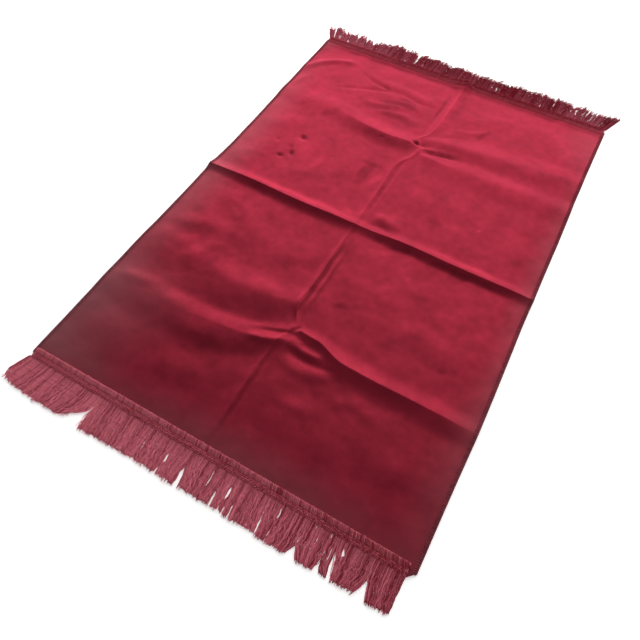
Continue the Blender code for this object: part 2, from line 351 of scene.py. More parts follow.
WRINKLES = (
    # Round the middle fold: the dimple's rim, and two faint streaks by the right side
    Wrinkle(2.5, 19, 0.3, ((6, 35), (32, 41), (58, 35), (80, 21))),
    Wrinkle(-1.2, 9, 0.3, ((8, 17), (34, 19), (64, 14))),
    Wrinkle(1.0, 8, 0.4, ((288, -14), (298, -45), (303, -84))),
    Wrinkle(1.2, 9, 0.4, ((316, -22), (328, -52), (336, -90))),
    # Puckers where the near folds meet the centre line
    Wrinkle(3.8, 14, 0.6, ((6, -280), (24, -290), (44, -293), (64, -294), (86, -290))),
    Wrinkle(1.6, 18, 0.1, ((8, -316), (45, -328), (72, -325), (118, -310))),
    Wrinkle(1.9, 12, 0.5, ((-74, -297), (-40, -283), (-20, -276), (-4, -269), (14, -262))),
    Wrinkle(-1.3, 7, 0.6, ((-52, -294), (-28, -285), (-4, -276), (12, -270))),
    Wrinkle(2.2, 13, 0.4, ((-62, -313), (-30, -306), (-8, -297), (12, -282))),
    Wrinkle(1.4, 5, 0.8, ((10, -275), (22, -281), (36, -284))),
    Wrinkle(-1.1, 4, 0.8, ((14, -284), (28, -288), (42, -289))),
    Wrinkle(1.1, 5, 0.8, ((40, -289), (56, -292), (74, -291))),
    Wrinkle(-1.4, 8, 0.7, ((18, -303), (46, -308), (80, -307), (112, -300))),
    # Puckers where the far folds meet it
    Wrinkle(2.6, 8, 0.8, ((8, 257), (26, 267), (50, 273), (78, 276), (106, 274))),
    Wrinkle(-2.2, 10, 0.5, ((8, 245), (34, 257), (62, 265), (112, 273))),
    Wrinkle(-2.0, 9, 0.4, ((-16, 273), (4, 272), (32, 276))),
    # Soft wrinkles of the far left quarter
    Wrinkle(3.6, 16, 0.6, ((-352, 362), (-340, 396), (-318, 424), (-290, 444), (-258, 456), (-222, 462))),
    Wrinkle(1.2, 12, 0.4, ((-342, 290), (-336, 326), (-327, 356), (-322, 376))),
    Wrinkle(-1.4, 8, 0.6, ((-262, 351), (-216, 371), (-172, 389), (-128, 403), (-70, 404))),
    Wrinkle(
        -1.9, 7, 0.9,
        ((-230, 446), (-172, 418), (-146, 414), (-122, 411), (-92, 412), (-52, 400), (8, 400)),
    ),
    Wrinkle(1.1, 18, 0.4, ((-210, 442), (-150, 428), (-100, 428), (-40, 416), (10, 412))),
    Wrinkle(1.3, 12, 0.4, ((-176, 345), (-122, 352), (-86, 362), (-54, 367))),
    Wrinkle(1.4, 12, 0.4, ((-146, 316), (-104, 334), (-58, 343), (-20, 328))),
    Wrinkle(1.2, 11, 0.4, ((-118, 376), (-70, 384), (-16, 372))),
    Wrinkle(1.6, 9, 0.5, ((44, 350), (88, 360), (116, 376), (128, 398))),
    Wrinkle(1.2, 9, 0.5, ((30, 324), (62, 340), (96, 348))),
    Wrinkle(0.8, 16, 0.3, ((206, 352), (262, 344), (326, 352))),
    # Waves of the left side's near half
    Wrinkle(1.7, 32, 0.2, ((-350, -142), (-300, -154), (-262, -138), (-214, -136), (-160, -130))),
    Wrinkle(1.4, 26, 0.2, ((-256, -250), (-240, -212), (-216, -176), (-194, -154))),
    Wrinkle(1.2, 24, 0.2, ((-344, -198), (-304, -194), (-268, -208))),
    Wrinkle(1.3, 22, 0.2, ((-346, -304), (-306, -310), (-262, -300), (-226, -310))),
    Wrinkle(1.2, 26, 0.2, ((-196, -338), (-150, -352), (-96, -348), (-50, -336))),
    # The near right quarter
    Wrinkle(1.1, 18, 0.2, ((24, -376), (60, -386), (96, -384), (118, -366))),
    Wrinkle(-1.1, 13, 0.3, ((74, -330), (98, -360), (116, -402))),
    Wrinkle(1.0, 20, 0.2, ((104, -352), (160, -338), (226, -344))),
)

SWELLS = (
    # Dents pressed into the pile
    Swell(-224, 166, -3.2, 14, 8, -32),
    Swell(-222, 112, -3.0, 16, 8, -50),
    Swell(-240, 96, -2.8, 11, 7.5, -10),
    Swell(-270, 137, -1.8, 8, 5, -40),
    Swell(-234, 128, -1.8, 13, 6, -70),
    Swell(-73, 250, -1.4, 5, 4, -45),
    Swell(0, 272, -2.8, 14, 9, 0),
    Swell(13, -259, -2.6, 9, 6, 80),
    Swell(52, -186, -1.5, 22, 13, 30),
    Swell(-120, 200, -0.9, 8, 5, 0),
    Swell(-40, 196, -0.8, 7, 4, 0),
    # Where the rug has not quite settled
    Swell(-105, 128, 1.9, 62, 46, 80),
    Swell(-182, 66, 1.4, 60, 34, 10),
    Swell(-300, 60, 1.4, 60, 40, 60),
    Swell(-280, 196, 1.8, 70, 36, 20),
    Swell(112, 122, 1.3, 80, 50, 35),
    Swell(236, 168, 1.2, 84, 40, -20),
    Swell(200, 40, 1.2, 60, 30, 10),
    Swell(-60, -110, 1.4, 76, 40, 15),
    Swell(-190, -96, 1.3, 70, 36, -30),
    Swell(120, -120, 1.3, 70, 44, 40),
    Swell(230, -180, 1.5, 80, 40, -15),
    Swell(-120, -420, 1.3, 90, 40, 12),
    Swell(-260, -430, 1.3, 70, 46, -30),
    Swell(150, -430, 1.3, 90, 42, -10),
    Swell(268, -396, 1.5, 64, 44, 30),
    Swell(110, 420, 1.4, 80, 46, 20),
    Swell(250, 430, 1.4, 80, 44, -30),
    Swell(-80, 470, 1.2, 90, 34, 0),
)

# Patches of tone: painted shade and painted highlights by the folds, dents and crease, and the pile's own
# mottling.
NAP_AND_PAINTED_SHADING = (
    # Along the centre crease: painted shade on one side and a painted highlight on the other, from the near
    # end to the far one
    Blotch(-5, -400, -0.34, 110, 6, 90, 0.6),
    Blotch(-15, -396, 0.14, 104, 5, 90, 0.8),
    Blotch(-6, -140, -0.52, 116, 5.5, 90, 0.5),
    Blotch(-17, -138, 0.20, 108, 5, 90, 0.8),
    Blotch(1, -140, 0.16, 100, 2.5, 90, 0.8),
    Blotch(8, -140, -0.36, 104, 4, 90, 0.6),
    Blotch(2, -52, -0.34, 36, 7, 90, 0.6),
    Blotch(-13, -50, 0.30, 44, 5, 90, 0.8),
    Blotch(-4, 122, -0.22, 112, 7, 90, 0.7),
    Blotch(-14, 120, 0.14, 90, 4, 90, 0.9),
    Blotch(20, 418, 0.22, 100, 12, 91, 0.9),
    Blotch(3, 412, -0.40, 62, 5, 88, 0.6),
    Blotch(38, 430, -0.12, 90, 11, 90, 0.9),
    # Painted shade towards the far heading and the far left corner, and darker along both edgings
    Blotch(0, 522, -1.05, 600, 42, 0, 1.0),
    Blotch(-150, 510, -0.80, 330, 26, 0, 1.0),
    Blotch(-356, 470, -0.50, 90, 22, 84, 0.9),
    Blotch(-312, 492, -0.34, 56, 30, 0, 1.0),
    Blotch(349, 0, -0.28, 900, 9, 90, 0.9),
    Blotch(-350, 0, -0.18, 900, 8, 90, 0.9),
    Blotch(46, 24, -0.14, 40, 15, -8, 0.9),
    # Painted shade inside the dents
    Blotch(-222, 170, -0.95, 14, 7, -34, 0.8),
    Blotch(-219, 114, -0.85, 15, 6.5, -52, 0.8),
    Blotch(-231, 131, -0.50, 13, 5, -66, 0.8),
    Blotch(-240, 98, -0.85, 12, 6.5, -8, 0.8),
    Blotch(-270, 138, -0.40, 7, 4, -20, 0.7),
    # Painted highlights beside the middle fold's dimple
    Blotch(-12, 40, 0.30, 20, 10, 60, 0.8),
    Blotch(50, 64, 0.22, 44, 16, 70, 0.9),
    # Painted shade under the folds, on their sides that face the near end
    Blotch(-70, 252, -0.15, 92, 16, -12, 1.0),
    Blotch(76, 268, -0.30, 60, 8, 14, 0.7),
    Blotch(210, -12, -0.36, 150, 9, 0, 0.7),
    Blotch(70, -12, -0.46, 74, 9, 0, 0.7),
    Blotch(-200, -12, -0.22, 150, 9, 0, 0.7),
    # Painted highlight on the middle fold's far side
    Blotch(-130, 13, 0.44, 200, 11, 0, 0.8),
    Blotch(220, 14, 0.32, 130, 11, 0, 0.8),
    # Far left quarter
    Blotch(-85, 376, -0.40, 60, 26, 10, 0.6),
    Blotch(-104, 336, -0.36, 60, 18, -4, 0.5),
    Blotch(-42, 326, -0.30, 34, 14, -10, 0.6),
    Blotch(-136, 412, -0.52, 16, 7, -20, 0.8),
    Blotch(-244, 396, -0.12, 46, 26, 20, 0.8),
    Blotch(-232, 330, 0.14, 90, 26, 8, 0.8),
    Blotch(-214, 272, -0.22, 32, 14, 55, 0.6),
    Blotch(-336, 480, -0.34, 60, 16, 90, 0.8),
    # Far right quarter
    Blotch(44, 450, -0.14, 76, 16, 92, 0.7),
    Blotch(118, 366, -0.36, 34, 8, 68, 0.8),
    Blotch(66, 392, -0.12, 36, 22, 20, 0.7),
    # A painted glint
    Blotch(176, 404, 0.30, 5, 3, 70, 0.8),
    Blotch(250, 300, -0.12, 90, 20, 4, 0.9),
    Blotch(236, 316, -0.20, 90, 16, 6, 1.0),
    Blotch(318, 322, -0.24, 60, 20, 8, 1.0),
    Blotch(330, 220, -0.16, 420, 56, 90, 1.0),
    # Between the far folds and the middle one
    Blotch(-58, 136, -0.40, 44, 15, 84, 0.45),
    Blotch(-30, 132, 0.36, 32, 11, 80, 0.6),
    Blotch(-58, 169, -0.34, 38, 9, 4, 0.6),
    Blotch(-190, 124, 0.18, 90, 30, 0, 1.0),
    Blotch(-304, 64, -0.24, 54, 20, 0, 1.0),
    Blotch(-36, 28, 0.36, 34, 10, 4, 0.9),
    Blotch(-160, 118, 0.26, 38, 13, 78, 0.7),
    Blotch(-228, 150, 0.12, 70, 40, 10, 0.9),
    Blotch(-276, 78, -0.26, 24, 9, -12, 0.7),
    Blotch(-150, 74, -0.16, 74, 16, 6, 0.7),
    Blotch(-108, 100, -0.12, 40, 18, 20, 0.8),
    Blotch(72, 100, -0.14, 56, 40, 60, 0.8),
    Blotch(205, 46, -0.15, 100, 16, 3, 0.8),
    Blotch(46, 56, 0.20, 50, 9, 12, 0.7),
    Blotch(-20, 46, 0.16, 26, 14, 80, 0.8),
    Blotch(146, 150, 0.10, 60, 26, -30, 0.8),
    Blotch(209, 107, 1.40, 4, 2.6, 70, 0.6),
    Blotch(60, 202, -0.14, 46, 14, 6, 0.7),
    Blotch(-20, 212, 0.10, 22, 18, 30, 0.8),
    # Between the middle fold and the near ones
    Blotch(62, -35, 0.26, 36, 11, 14, 0.6),
    Blotch(242, -19, 0.26, 20, 6, 10, 0.7),
    Blotch(-242, -68, -0.22, 26, 8, -10, 0.7),
    Blotch(-284, -48, 0.12, 60, 14, 6, 0.8),
    Blotch(-316, -30, -0.22, 50, 14, 0, 1.0),
    Blotch(14, -64, -0.16, 46, 12, 86, 0.7),
    Blotch(58, -189, -0.30, 26, 13, 20, 0.7),
    Blotch(84, -168, -0.14, 40, 10, 20, 0.7),
    Blotch(-76, -150, -0.18, 60, 16, -8, 0.7),
    Blotch(-38, -150, 0.16, 26, 16, 70, 0.8),
    Blotch(-88, -122, 0.12, 60, 13, 6, 0.8),
    Blotch(-196, -204, -0.20, 44, 13, 58, 0.7),
    Blotch(-92, -204, 0.10, 48, 12, 6, 0.6),
    Blotch(130, -128, 0.12, 60, 22, 30, 0.8),
    Blotch(264, -210, -0.26, 13, 9, 20, 0.7),
    Blotch(230, -172, -0.12, 60, 20, -12, 0.8),
    # Where hands have brushed the pile, in the middle of the quarters
    Blotch(112, 150, -0.22, 34, 13, 72, 0.9),
    Blotch(168, 92, 0.20, 40, 16, 24, 0.9),
    Blotch(122, 84, -0.20, 30, 12, -20, 0.9),
    Blotch(60, 136, 0.16, 30, 12, 64, 0.9),
    Blotch(262, 132, 0.16, 46, 15, -16, 0.9),
    Blotch(296, 66, -0.20, 34, 14, 40, 0.9),
    Blotch(24, 176, -0.18, 22, 10, 50, 0.9),
    Blotch(-108, 186, 0.18, 34, 12, 22, 0.9),
    Blotch(-300, 116, 0.18, 34, 14, 60, 0.9),
    Blotch(-318, 40, -0.22, 30, 12, -30, 0.9),
    Blotch(-176, 196, -0.18, 30, 11, -24, 0.9),
    Blotch(-122, -46, 0.16, 36, 12, 12, 0.9),
    Blotch(-166, -62, -0.18, 30, 11, -30, 0.9),
    Blotch(-310, -120, -0.20, 34, 13, 24, 0.9),
    Blotch(130, -62, 0.18, 34, 12, -24, 0.9),
    Blotch(172, -96, -0.20, 36, 13, 16, 0.9),
    Blotch(292, -118, 0.18, 34, 14, 52, 0.9),
    Blotch(96, -96, -0.18, 28, 11, 62, 0.9),
    Blotch(214, -148, 0.18, 36, 12, -12, 0.9),
    Blotch(160, -214, -0.18, 44, 10, 4, 0.9),
    Blotch(-160, 470, 0.16, 44, 12, 8, 0.9),
    Blotch(-262, 430, -0.18, 30, 12, 42, 0.9),
    Blotch(-180, 300, -0.16, 36, 10, -6, 0.9),
    Blotch(150, 452, 0.14, 40, 14, 20, 0.9),
    Blotch(206, 386, -0.18, 44, 13, -14, 0.9),
    Blotch(298, 404, 0.16, 36, 14, 60, 0.9),
    Blotch(140, 344, 0.16, 34, 11, 12, 0.9),
    # Near quarters
    Blotch(-104, -356, -0.14, 70, 22, -6, 0.9),
    Blotch(-76, -312, 0.22, 46, 8, 8, 0.8),
    Blotch(-240, -312, 0.16, 44, 10, -4, 0.8),
    Blotch(-130, -396, 0.18, 62, 12, 4, 0.8),
    Blotch(-104, -420, -0.16, 50, 11, 2, 0.8),
    Blotch(-26, -412, 0.28, 24, 14, 60, 0.7),
    Blotch(60, -386, 0.20, 44, 7, 0, 0.7),
    Blotch(168, -346, 0.18, 54, 16, 4, 0.8),
    Blotch(102, -384, -0.18, 40, 10, -56, 0.7),
    Blotch(37, -452, 0.34, 30, 3, -60, 0.8),
    Blotch(-52, -450, -0.16, 60, 20, 66, 0.8),
    Blotch(262, -492, -0.18, 14, 24, 0, 0.8),
    Blotch(214, -402, -0.12, 70, 26, -20, 0.9),
)

# Painted grey sheen: a veil of reflected light that makes the pile look greyer along its sides and ends.
PAINTED_SHEEN_PATCHES = (
    Blotch(-386, -30, 0.54, 760, 126, 90, 1.0),
    Blotch(-386, -400, 0.56, 260, 190, 20, 1.0),
    Blotch(-330, -486, 0.34, 180, 60, 0, 1.0),
    Blotch(340, 450, 0.14, 120, 90, 90, 1.0),
    Blotch(0, -545, 0.50, 560, 110, 2, 1.0),
    Blotch(385, -360, 0.34, 330, 110, 88, 1.0),
    Blotch(376, 60, 0.34, 560, 76, 90, 1.0),
    Blotch(-362, 512, 0.50, 70, 44, 0, 1.0),
)

SIDE_BOWS = (
    SideBow(0.00, 3.8, 1.7),
    SideBow(0.12, 3.8, 2.3),
    SideBow(0.24, 4.2, 3.8),
    SideBow(0.36, 2.3, 2.4),
    SideBow(0.46, 2.0, 0.8),
    SideBow(0.50, 2.6, 1.1),
    SideBow(0.56, -0.5, 0.8),
    SideBow(0.65, -1.4, 0.8),
    SideBow(0.78, -0.4, -1.1),
    SideBow(0.90, 0.0, -0.7),
    SideBow(1.00, 0.0, 0.0),
)

NEAR_SHADES = (
    Shade(-350, 0.22),
    Shade(-200, 0.12),
    Shade(0, 0.00),
    Shade(230, -0.13),
    Shade(341, -0.40),
)

FAR_SHADES = (
    Shade(-350, 0.36),
    Shade(-270, 0.18),
    Shade(-190, -0.08),
    Shade(0, -0.28),
    Shade(230, -0.28),
    Shade(290, -0.04),
    Shade(349, -0.14),
)

NEAR_LOCKS = (
    Lock(-350, -344, -18, -17, 38, 52, 0.7, 0.8),
    Lock(-344, -300, -17, -14, 54, 60, 0.9, 1.3),
    Lock(-300, -246, -14, -14, 60, 60, 1.3, 1.7),
    Lock(-246, -222, -14, -17, 60, 59, 1.7, 2.4),
    Lock(-222, -199.5, -17, -24, 59, 45, 2.4, 5.5),
    Lock(-199.5, -150, 2, 4, 63, 59, 1.0, 1.3),
    Lock(-150, -91, 4, 2, 60, 59),
    Lock(-91, -70, 2, 2, 60, 58),
    Lock(-70, -46, 2, 0, 59, 60),
    Lock(-46, -12, 0, 0, 60, 62),
    Lock(-12, 31, 3, 2, 58, 60, 2.6, 1.3),
    Lock(31, 48, 2, 0, 60, 58),
    Lock(48, 67, 1, 2, 59, 58),
    Lock(67, 122, 2, 5, 60, 60),
    Lock(122, 145, 5, 2, 60, 62),
    Lock(145, 188, 2, -1, 61, 62, 1.3, 2.2),
    Lock(188, 228, 1, -1, 61, 60, 2.2, 2.0),
    Lock(228, 243, 1, 4, 60, 60, 2.0, 1.5),
    Lock(243, 296, 5, -2, 60, 58, 1.5, 2.2),
    Lock(296, 341, 2, -2, 60, 59, 2.2, 1.5),
)

NEAR_SLITS = (
    Slit(-91, -88, 24, 42, 0.9, CLOSES),
    Slit(-73, -71, 12, 42, 1.0, CLOSES),
    Slit(-68, -67, 48, 62, 1.6, OPEN),
    Slit(-48, -44, 20, 44, 2.2, CLOSES),
    Slit(-50, -48, 46, 62, 1.8, OPEN),
    Slit(-14, -9, 28, 62, 6.2, OPEN),
    Slit(28, 32, 4, 42, 1.3, CLOSES),
    Slit(47, 50, 30, 62, 3.4, OPEN),
    Slit(64, 66, 18, 42, 3.8, CLOSES),
    Slit(63, 64, 46, 62, 1.8, OPEN),
    Slit(71, 72, 46, 62, 1.8, OPEN),
    Slit(80, 84, 36, 62, 2.4, OPEN),
    Slit(124, 130, 18, 62, 2.0, OPEN),
    Slit(145, 149, 8, 26, 1.5, CLOSES),
    Slit(145, 147, 34, 62, 1.8, OPEN),
    Slit(188, 189, 44, 61, 17.0, NOTCH),
    Slit(202, 202, 4, 12, 1.4, CLOSES),
    Slit(210, 213, 16, 28, 0.8, CLOSES),
    Slit(227, 227, 4, 12, 1.4, CLOSES),
    Slit(228, 229, 42, 61, 11.0, NOTCH),
    Slit(235, 238, 18, 42, 1.0, CLOSES),
    Slit(241, 252, 16, 62, 3.4, OPEN),
    Slit(250, 258, 13, 26, 0.9, CLOSES),
    Slit(296, 293, 34, 60, 17.0, NOTCH),
)

FAR_LOCKS = (
    Lock(-350, -338, -23, -19, 46, 42, 1.0, 1.0),
    Lock(-338, -320, -17, -15, 56, 50, 1.0, 1.0),
    Lock(-320, -302, -12, -12, 42, 46, 1.0, 1.0),
    Lock(-302, -282, -10, -8, 50, 48, 1.0, 1.0),
    Lock(-282, -258, -6, -6, 42, 54, 1.0, 1.0),
    Lock(-258, -240, -4, -3, 48, 34, 1.0, 1.0),
    Lock(-240, -224, -4, -2, 38, 44),
    Lock(-224, -204, 0, -1, 55, 50),
    Lock(-204, -180, 0, -2, 52, 62),
    Lock(-180, -160, -1, -3, 60, 58),
    Lock(-160, -143, -1, -1, 52, 55),
    Lock(-143, -122, -1, -2, 55, 52),
    Lock(-122, -98, 4, 1, 50, 56),
    Lock(-98, -78, 3, 3, 55, 57),
    Lock(-78, -58, 3, 4, 57, 52),
    Lock(-58, -40, 4, 3, 52, 47),
    Lock(-40, -14, 4, 3, 47, 55),
    Lock(-14, 8, 3, 3, 56, 49),
    Lock(8, 34, 3, 3, 48, 51),
    Lock(34, 64, 4, 3, 49, 50),
    Lock(64, 86, 3, 3, 49, 52),
    Lock(86, 104, 3, 3, 54, 50),
    Lock(104, 132, 3, 2, 49, 54),
    Lock(132, 160, 3, 2, 56, 54),
    Lock(160, 188, 3, 2, 53, 58),
    Lock(188, 222, 4, 2, 64, 50),
    Lock(222, 242, 3, 3, 58, 63),
    Lock(242, 264, 4, 4, 61, 50),
    Lock(264, 288, 5, 7, 53, 63),
    Lock(288, 308, 8, 10, 56, 46),
    Lock(308, 330, 10, 14, 52, 58),
    Lock(330, 349, 14, 24, 60, 61, 1.0, 1.0),
)

FAR_SLITS = (
    Slit(-327, -337, 8, 34, 6.0, CLOSES),
    Slit(-302, -309, 3, 22, 2.6, CLOSES),
    Slit(-262, -268, 34, 50, 3.0, OPEN),
    Slit(-242, -246, 30, 44, 5.0, OPEN),
    Slit(-161, -161, 0, 10, 2.4, CLOSES),
    Slit(-145, -146, -1, 20, 3.4, CLOSES),
    Slit(-121, -121, 6, 42, 3.4, CLOSES),
    Slit(-100, -100, 8, 26, 1.8, CLOSES),
    Slit(-42, -40, 14, 36, 2.4, CLOSES),
    Slit(76, 72, 10, 40, 1.2, CLOSES),
    Slit(90, 84, 6, 34, 1.0, CLOSES),
    Slit(196, 194, 6, 22, 1.6, CLOSES),
    Slit(223, 223, 18, 46, 1.6, CLOSES),
    Slit(262, 266, 14, 42, 1.0, CLOSES),
    Slit(276, 272, 18, 50, 1.2, CLOSES),
    Slit(290, 286, 18, 44, 1.8, CLOSES),
    Slit(304, 318, 4, 46, 2.6, CLOSES),
    Slit(314, 322, 12, 52, 1.6, OPEN),
    Slit(298, 304, 26, 54, 1.8, OPEN),
)

LIGHTS = (
    SoftLight("window_low", (0.05, 1.90, 0.55), (3.6, 0.6), 48.0),
    SoftLight("window_middle", (0.05, 1.70, 1.50), (3.6, 0.6), 13.0),
    SoftLight("window_top", (0.05, 1.40, 2.10), (3.6, 0.6), 37.0),
    SoftLight("window_side", (-1.9, 1.3, 0.8), (1.4, 0.8), 28.0),
    SoftLight("left_wall", (-2.1, -0.1, 1.2), (1.5, 1.0), 5.0),
    SoftLight("near_wall", (0.70, -1.90, 1.70), (1.5, 1.0), 14.0),
)


# ---------------------------------------------------------------- small helpers


def smooth(share: np.ndarray | float) -> np.ndarray:
    """Return a smooth step from 0 to 1 over shares from 0 to 1."""
    held = np.clip(share, 0.0, 1.0)
    return held * held * (3.0 - 2.0 * held)


def column(table: Sequence[Any], name: str) -> np.ndarray:
    """Return one named column of a table."""
    return np.array([getattr(row, name) for row in table], float)


def along(table: Sequence[Any], where: np.ndarray, name: str) -> np.ndarray:
    """Read a column along the table's first one, as a smooth curve through its rows.

    Args:
        table: Rows in the order of their first column.
        where: Places along the first column.
        name: The column to read.

    Returns:
        The column's value at each place, held at the ends.
    """
    places = column(table, table[0]._fields[0])
    values = column(table, name)
    slopes = np.gradient(values, places)
    index = np.clip(np.searchsorted(places, where) - 1, 0, len(places) - 2)
    span = places[index + 1] - places[index]
    t = np.clip((where - places[index]) / span, 0.0, 1.0)
    rise = values[index + 1] - values[index]
    bend = t * (1.0 - t)
    return (
        values[index]
        + rise * smooth(t)
        + bend * span * ((1.0 - t) * slopes[index] - t * slopes[index + 1])
    )


def slope(share: np.ndarray, sharpness: np.ndarray | float) -> np.ndarray:
    """Return the height of a fold's side, 1 at its crest and 0 at its foot and beyond.

    Args:
        share: How far each place is from the crest, as a share of the side's reach.
        sharpness: 1 for a pressed crease, down to 0 for a soft wave.

    Returns:
        The height at each place.
    """
    held = np.clip(share, 0.0, 1.0)
    pressed = (1.0 - held) ** 2
    wave = 0.5 + 0.5 * np.cos(math.pi * held)
    return sharpness * pressed + (1.0 - sharpness) * wave


def from_middle(oval: Swell | Blotch, east: np.ndarray, north: np.ndarray) -> np.ndarray:
    """Measure how far places are from the middle of a turned oval.

    Args:
        oval: The swell or patch, which gives the oval's reaches and its angle.
        east: How far each place is from its middle along X.
        north: How far each place is from its middle along Y.

    Returns:
        The distance of each place, 1 at the oval's rim.
    """
    turn = math.radians(oval.angle)
    long_way = (east * math.cos(turn) + north * math.sin(turn)) / oval.long_reach
    short_way = (north * math.cos(turn) - east * math.sin(turn)) / oval.short_reach
    return np.hypot(long_way, short_way)


def graded(anchors: Sequence[float], widest: float, finest: float, growth: float) -> np.ndarray:
    """Set out places that are close together at the inner anchors and wide apart between them.

    Args:
        anchors: The two ends, and between them the places that get close neighbours.
        widest: The most that two places may be apart.
        finest: How far the places nearest to an inner anchor are from it.
        growth: How much the spacing grows for each metre away from an anchor.

    Returns:
        The places in order, with each anchor among them.
    """
    inner = np.array(anchors[1:-1])
    found = [float(anchors[0])]
    for low, high in zip(anchors, anchors[1:]):
        fine = np.linspace(low, high, FINE_PLACES)
        away = np.abs(fine[:, None] - inner[None, :]).min(axis=1)
        density = 1.0 / np.minimum(widest, finest + growth * away)
        total = np.concatenate([[0.0], np.cumsum((density[1:] + density[:-1]) / 2 * np.diff(fine))])
        count = max(1, math.ceil(total[-1]))
        found += list(np.interp(np.linspace(0, total[-1], count + 1)[1:], total, fine))
    return np.array(found)


def linear(colour: str, alpha: float = 1.0) -> tuple[float, float, float, float]:
    """Turn an sRGB hex colour such as #a02035 into linear values."""
    parts = [int(colour[start : start + 2], 16) / 255 for start in (1, 3, 5)]
    return (*[c / 12.92 if c <= 0.04045 else ((c + 0.055) / 1.055) ** 2.4 for c in parts], alpha)


def add_node(
    tree: bpy.types.NodeTree,
    kind: str,
    settings: dict[str, Any] | None = None,
    inputs: dict[str | int, Any] | None = None,
) -> bpy.types.Node:
    """Add a shader node with its settings and links.

    Args:
        tree: The material's node tree.
        kind: The node's type, such as ShaderNodeTexNoise.
        settings: Properties of the node.
        inputs: A value, or the socket to link, for each named or numbered input.

    Returns:
        The new node.
    """
    made = tree.nodes.new(kind)
    for name, value in (settings or {}).items():
        setattr(made, name, value)
    for name, value in (inputs or {}).items():
        if isinstance(value, bpy.types.NodeSocket):
            tree.links.new(value, made.inputs[name])
        else:
            made.inputs[name].default_value = value
    return made


def per_metre(size_mm: float) -> float:
    """Return a texture's scale for features of a real size."""
    return 1.0 / (size_mm * MM)


def mesh_object(name: str, mesh: bpy.types.Mesh, *materials: bpy.types.Material) -> bpy.types.Object:
    """Link a mesh as an object at the origin.

    Args:
        name: The object's name.
        mesh: Its mesh.
        materials: Its materials, in slot order.

    Returns:
        The object.
    """
    for material in materials:
        mesh.materials.append(material)
    made = bpy.data.objects.new(name, mesh)
    bpy.context.scene.collection.objects.link(made)
    return made


def points_of(mesh: bpy.types.Mesh) -> np.ndarray:
    """Read a mesh's points.

    Args:
        mesh: The mesh.

    Returns:
        The points, one row each.
    """
    found = np.zeros(len(mesh.vertices) * 3, np.float32)
    mesh.vertices.foreach_get("co", found)
    return found.reshape(-1, 3).astype(float)


def set_points(mesh: bpy.types.Mesh, points: np.ndarray) -> None:
    """Move a mesh's points to new places."""
    mesh.vertices.foreach_set("co", points.astype(np.float32).ravel())
    mesh.update()


def fit(piece: bpy.types.Object, node: str) -> bpy.types.Object:
    """Fit a finished piece to the rug.

    Args:
        piece: The piece.
        node: The node that it stands for.

    Returns:
        The same piece.
    """
    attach(piece, "root")
    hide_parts(node)
    return piece


# ---------------------------------------------------------------- finishes


@dataclass(frozen=True)
class Finish:
    """What every finish shares: a name for the material and how it starts."""

    name: str = "finish"

    def start(self) -> tuple[bpy.types.Material, bpy.types.NodeTree, bpy.types.Node, bpy.types.NodeSocket]:
        """Make the material.

        Returns:
            The material, its tree, its shader, and the socket of the piece's own coordinates.
        """
        material = bpy.data.materials.new(self.name)
        material.use_nodes = True
        tree = material.node_tree
        shader = tree.nodes["Principled BSDF"]
        coordinates = add_node(tree, "ShaderNodeTexCoord")
        return material, tree, shader, coordinates.outputs["Object"]


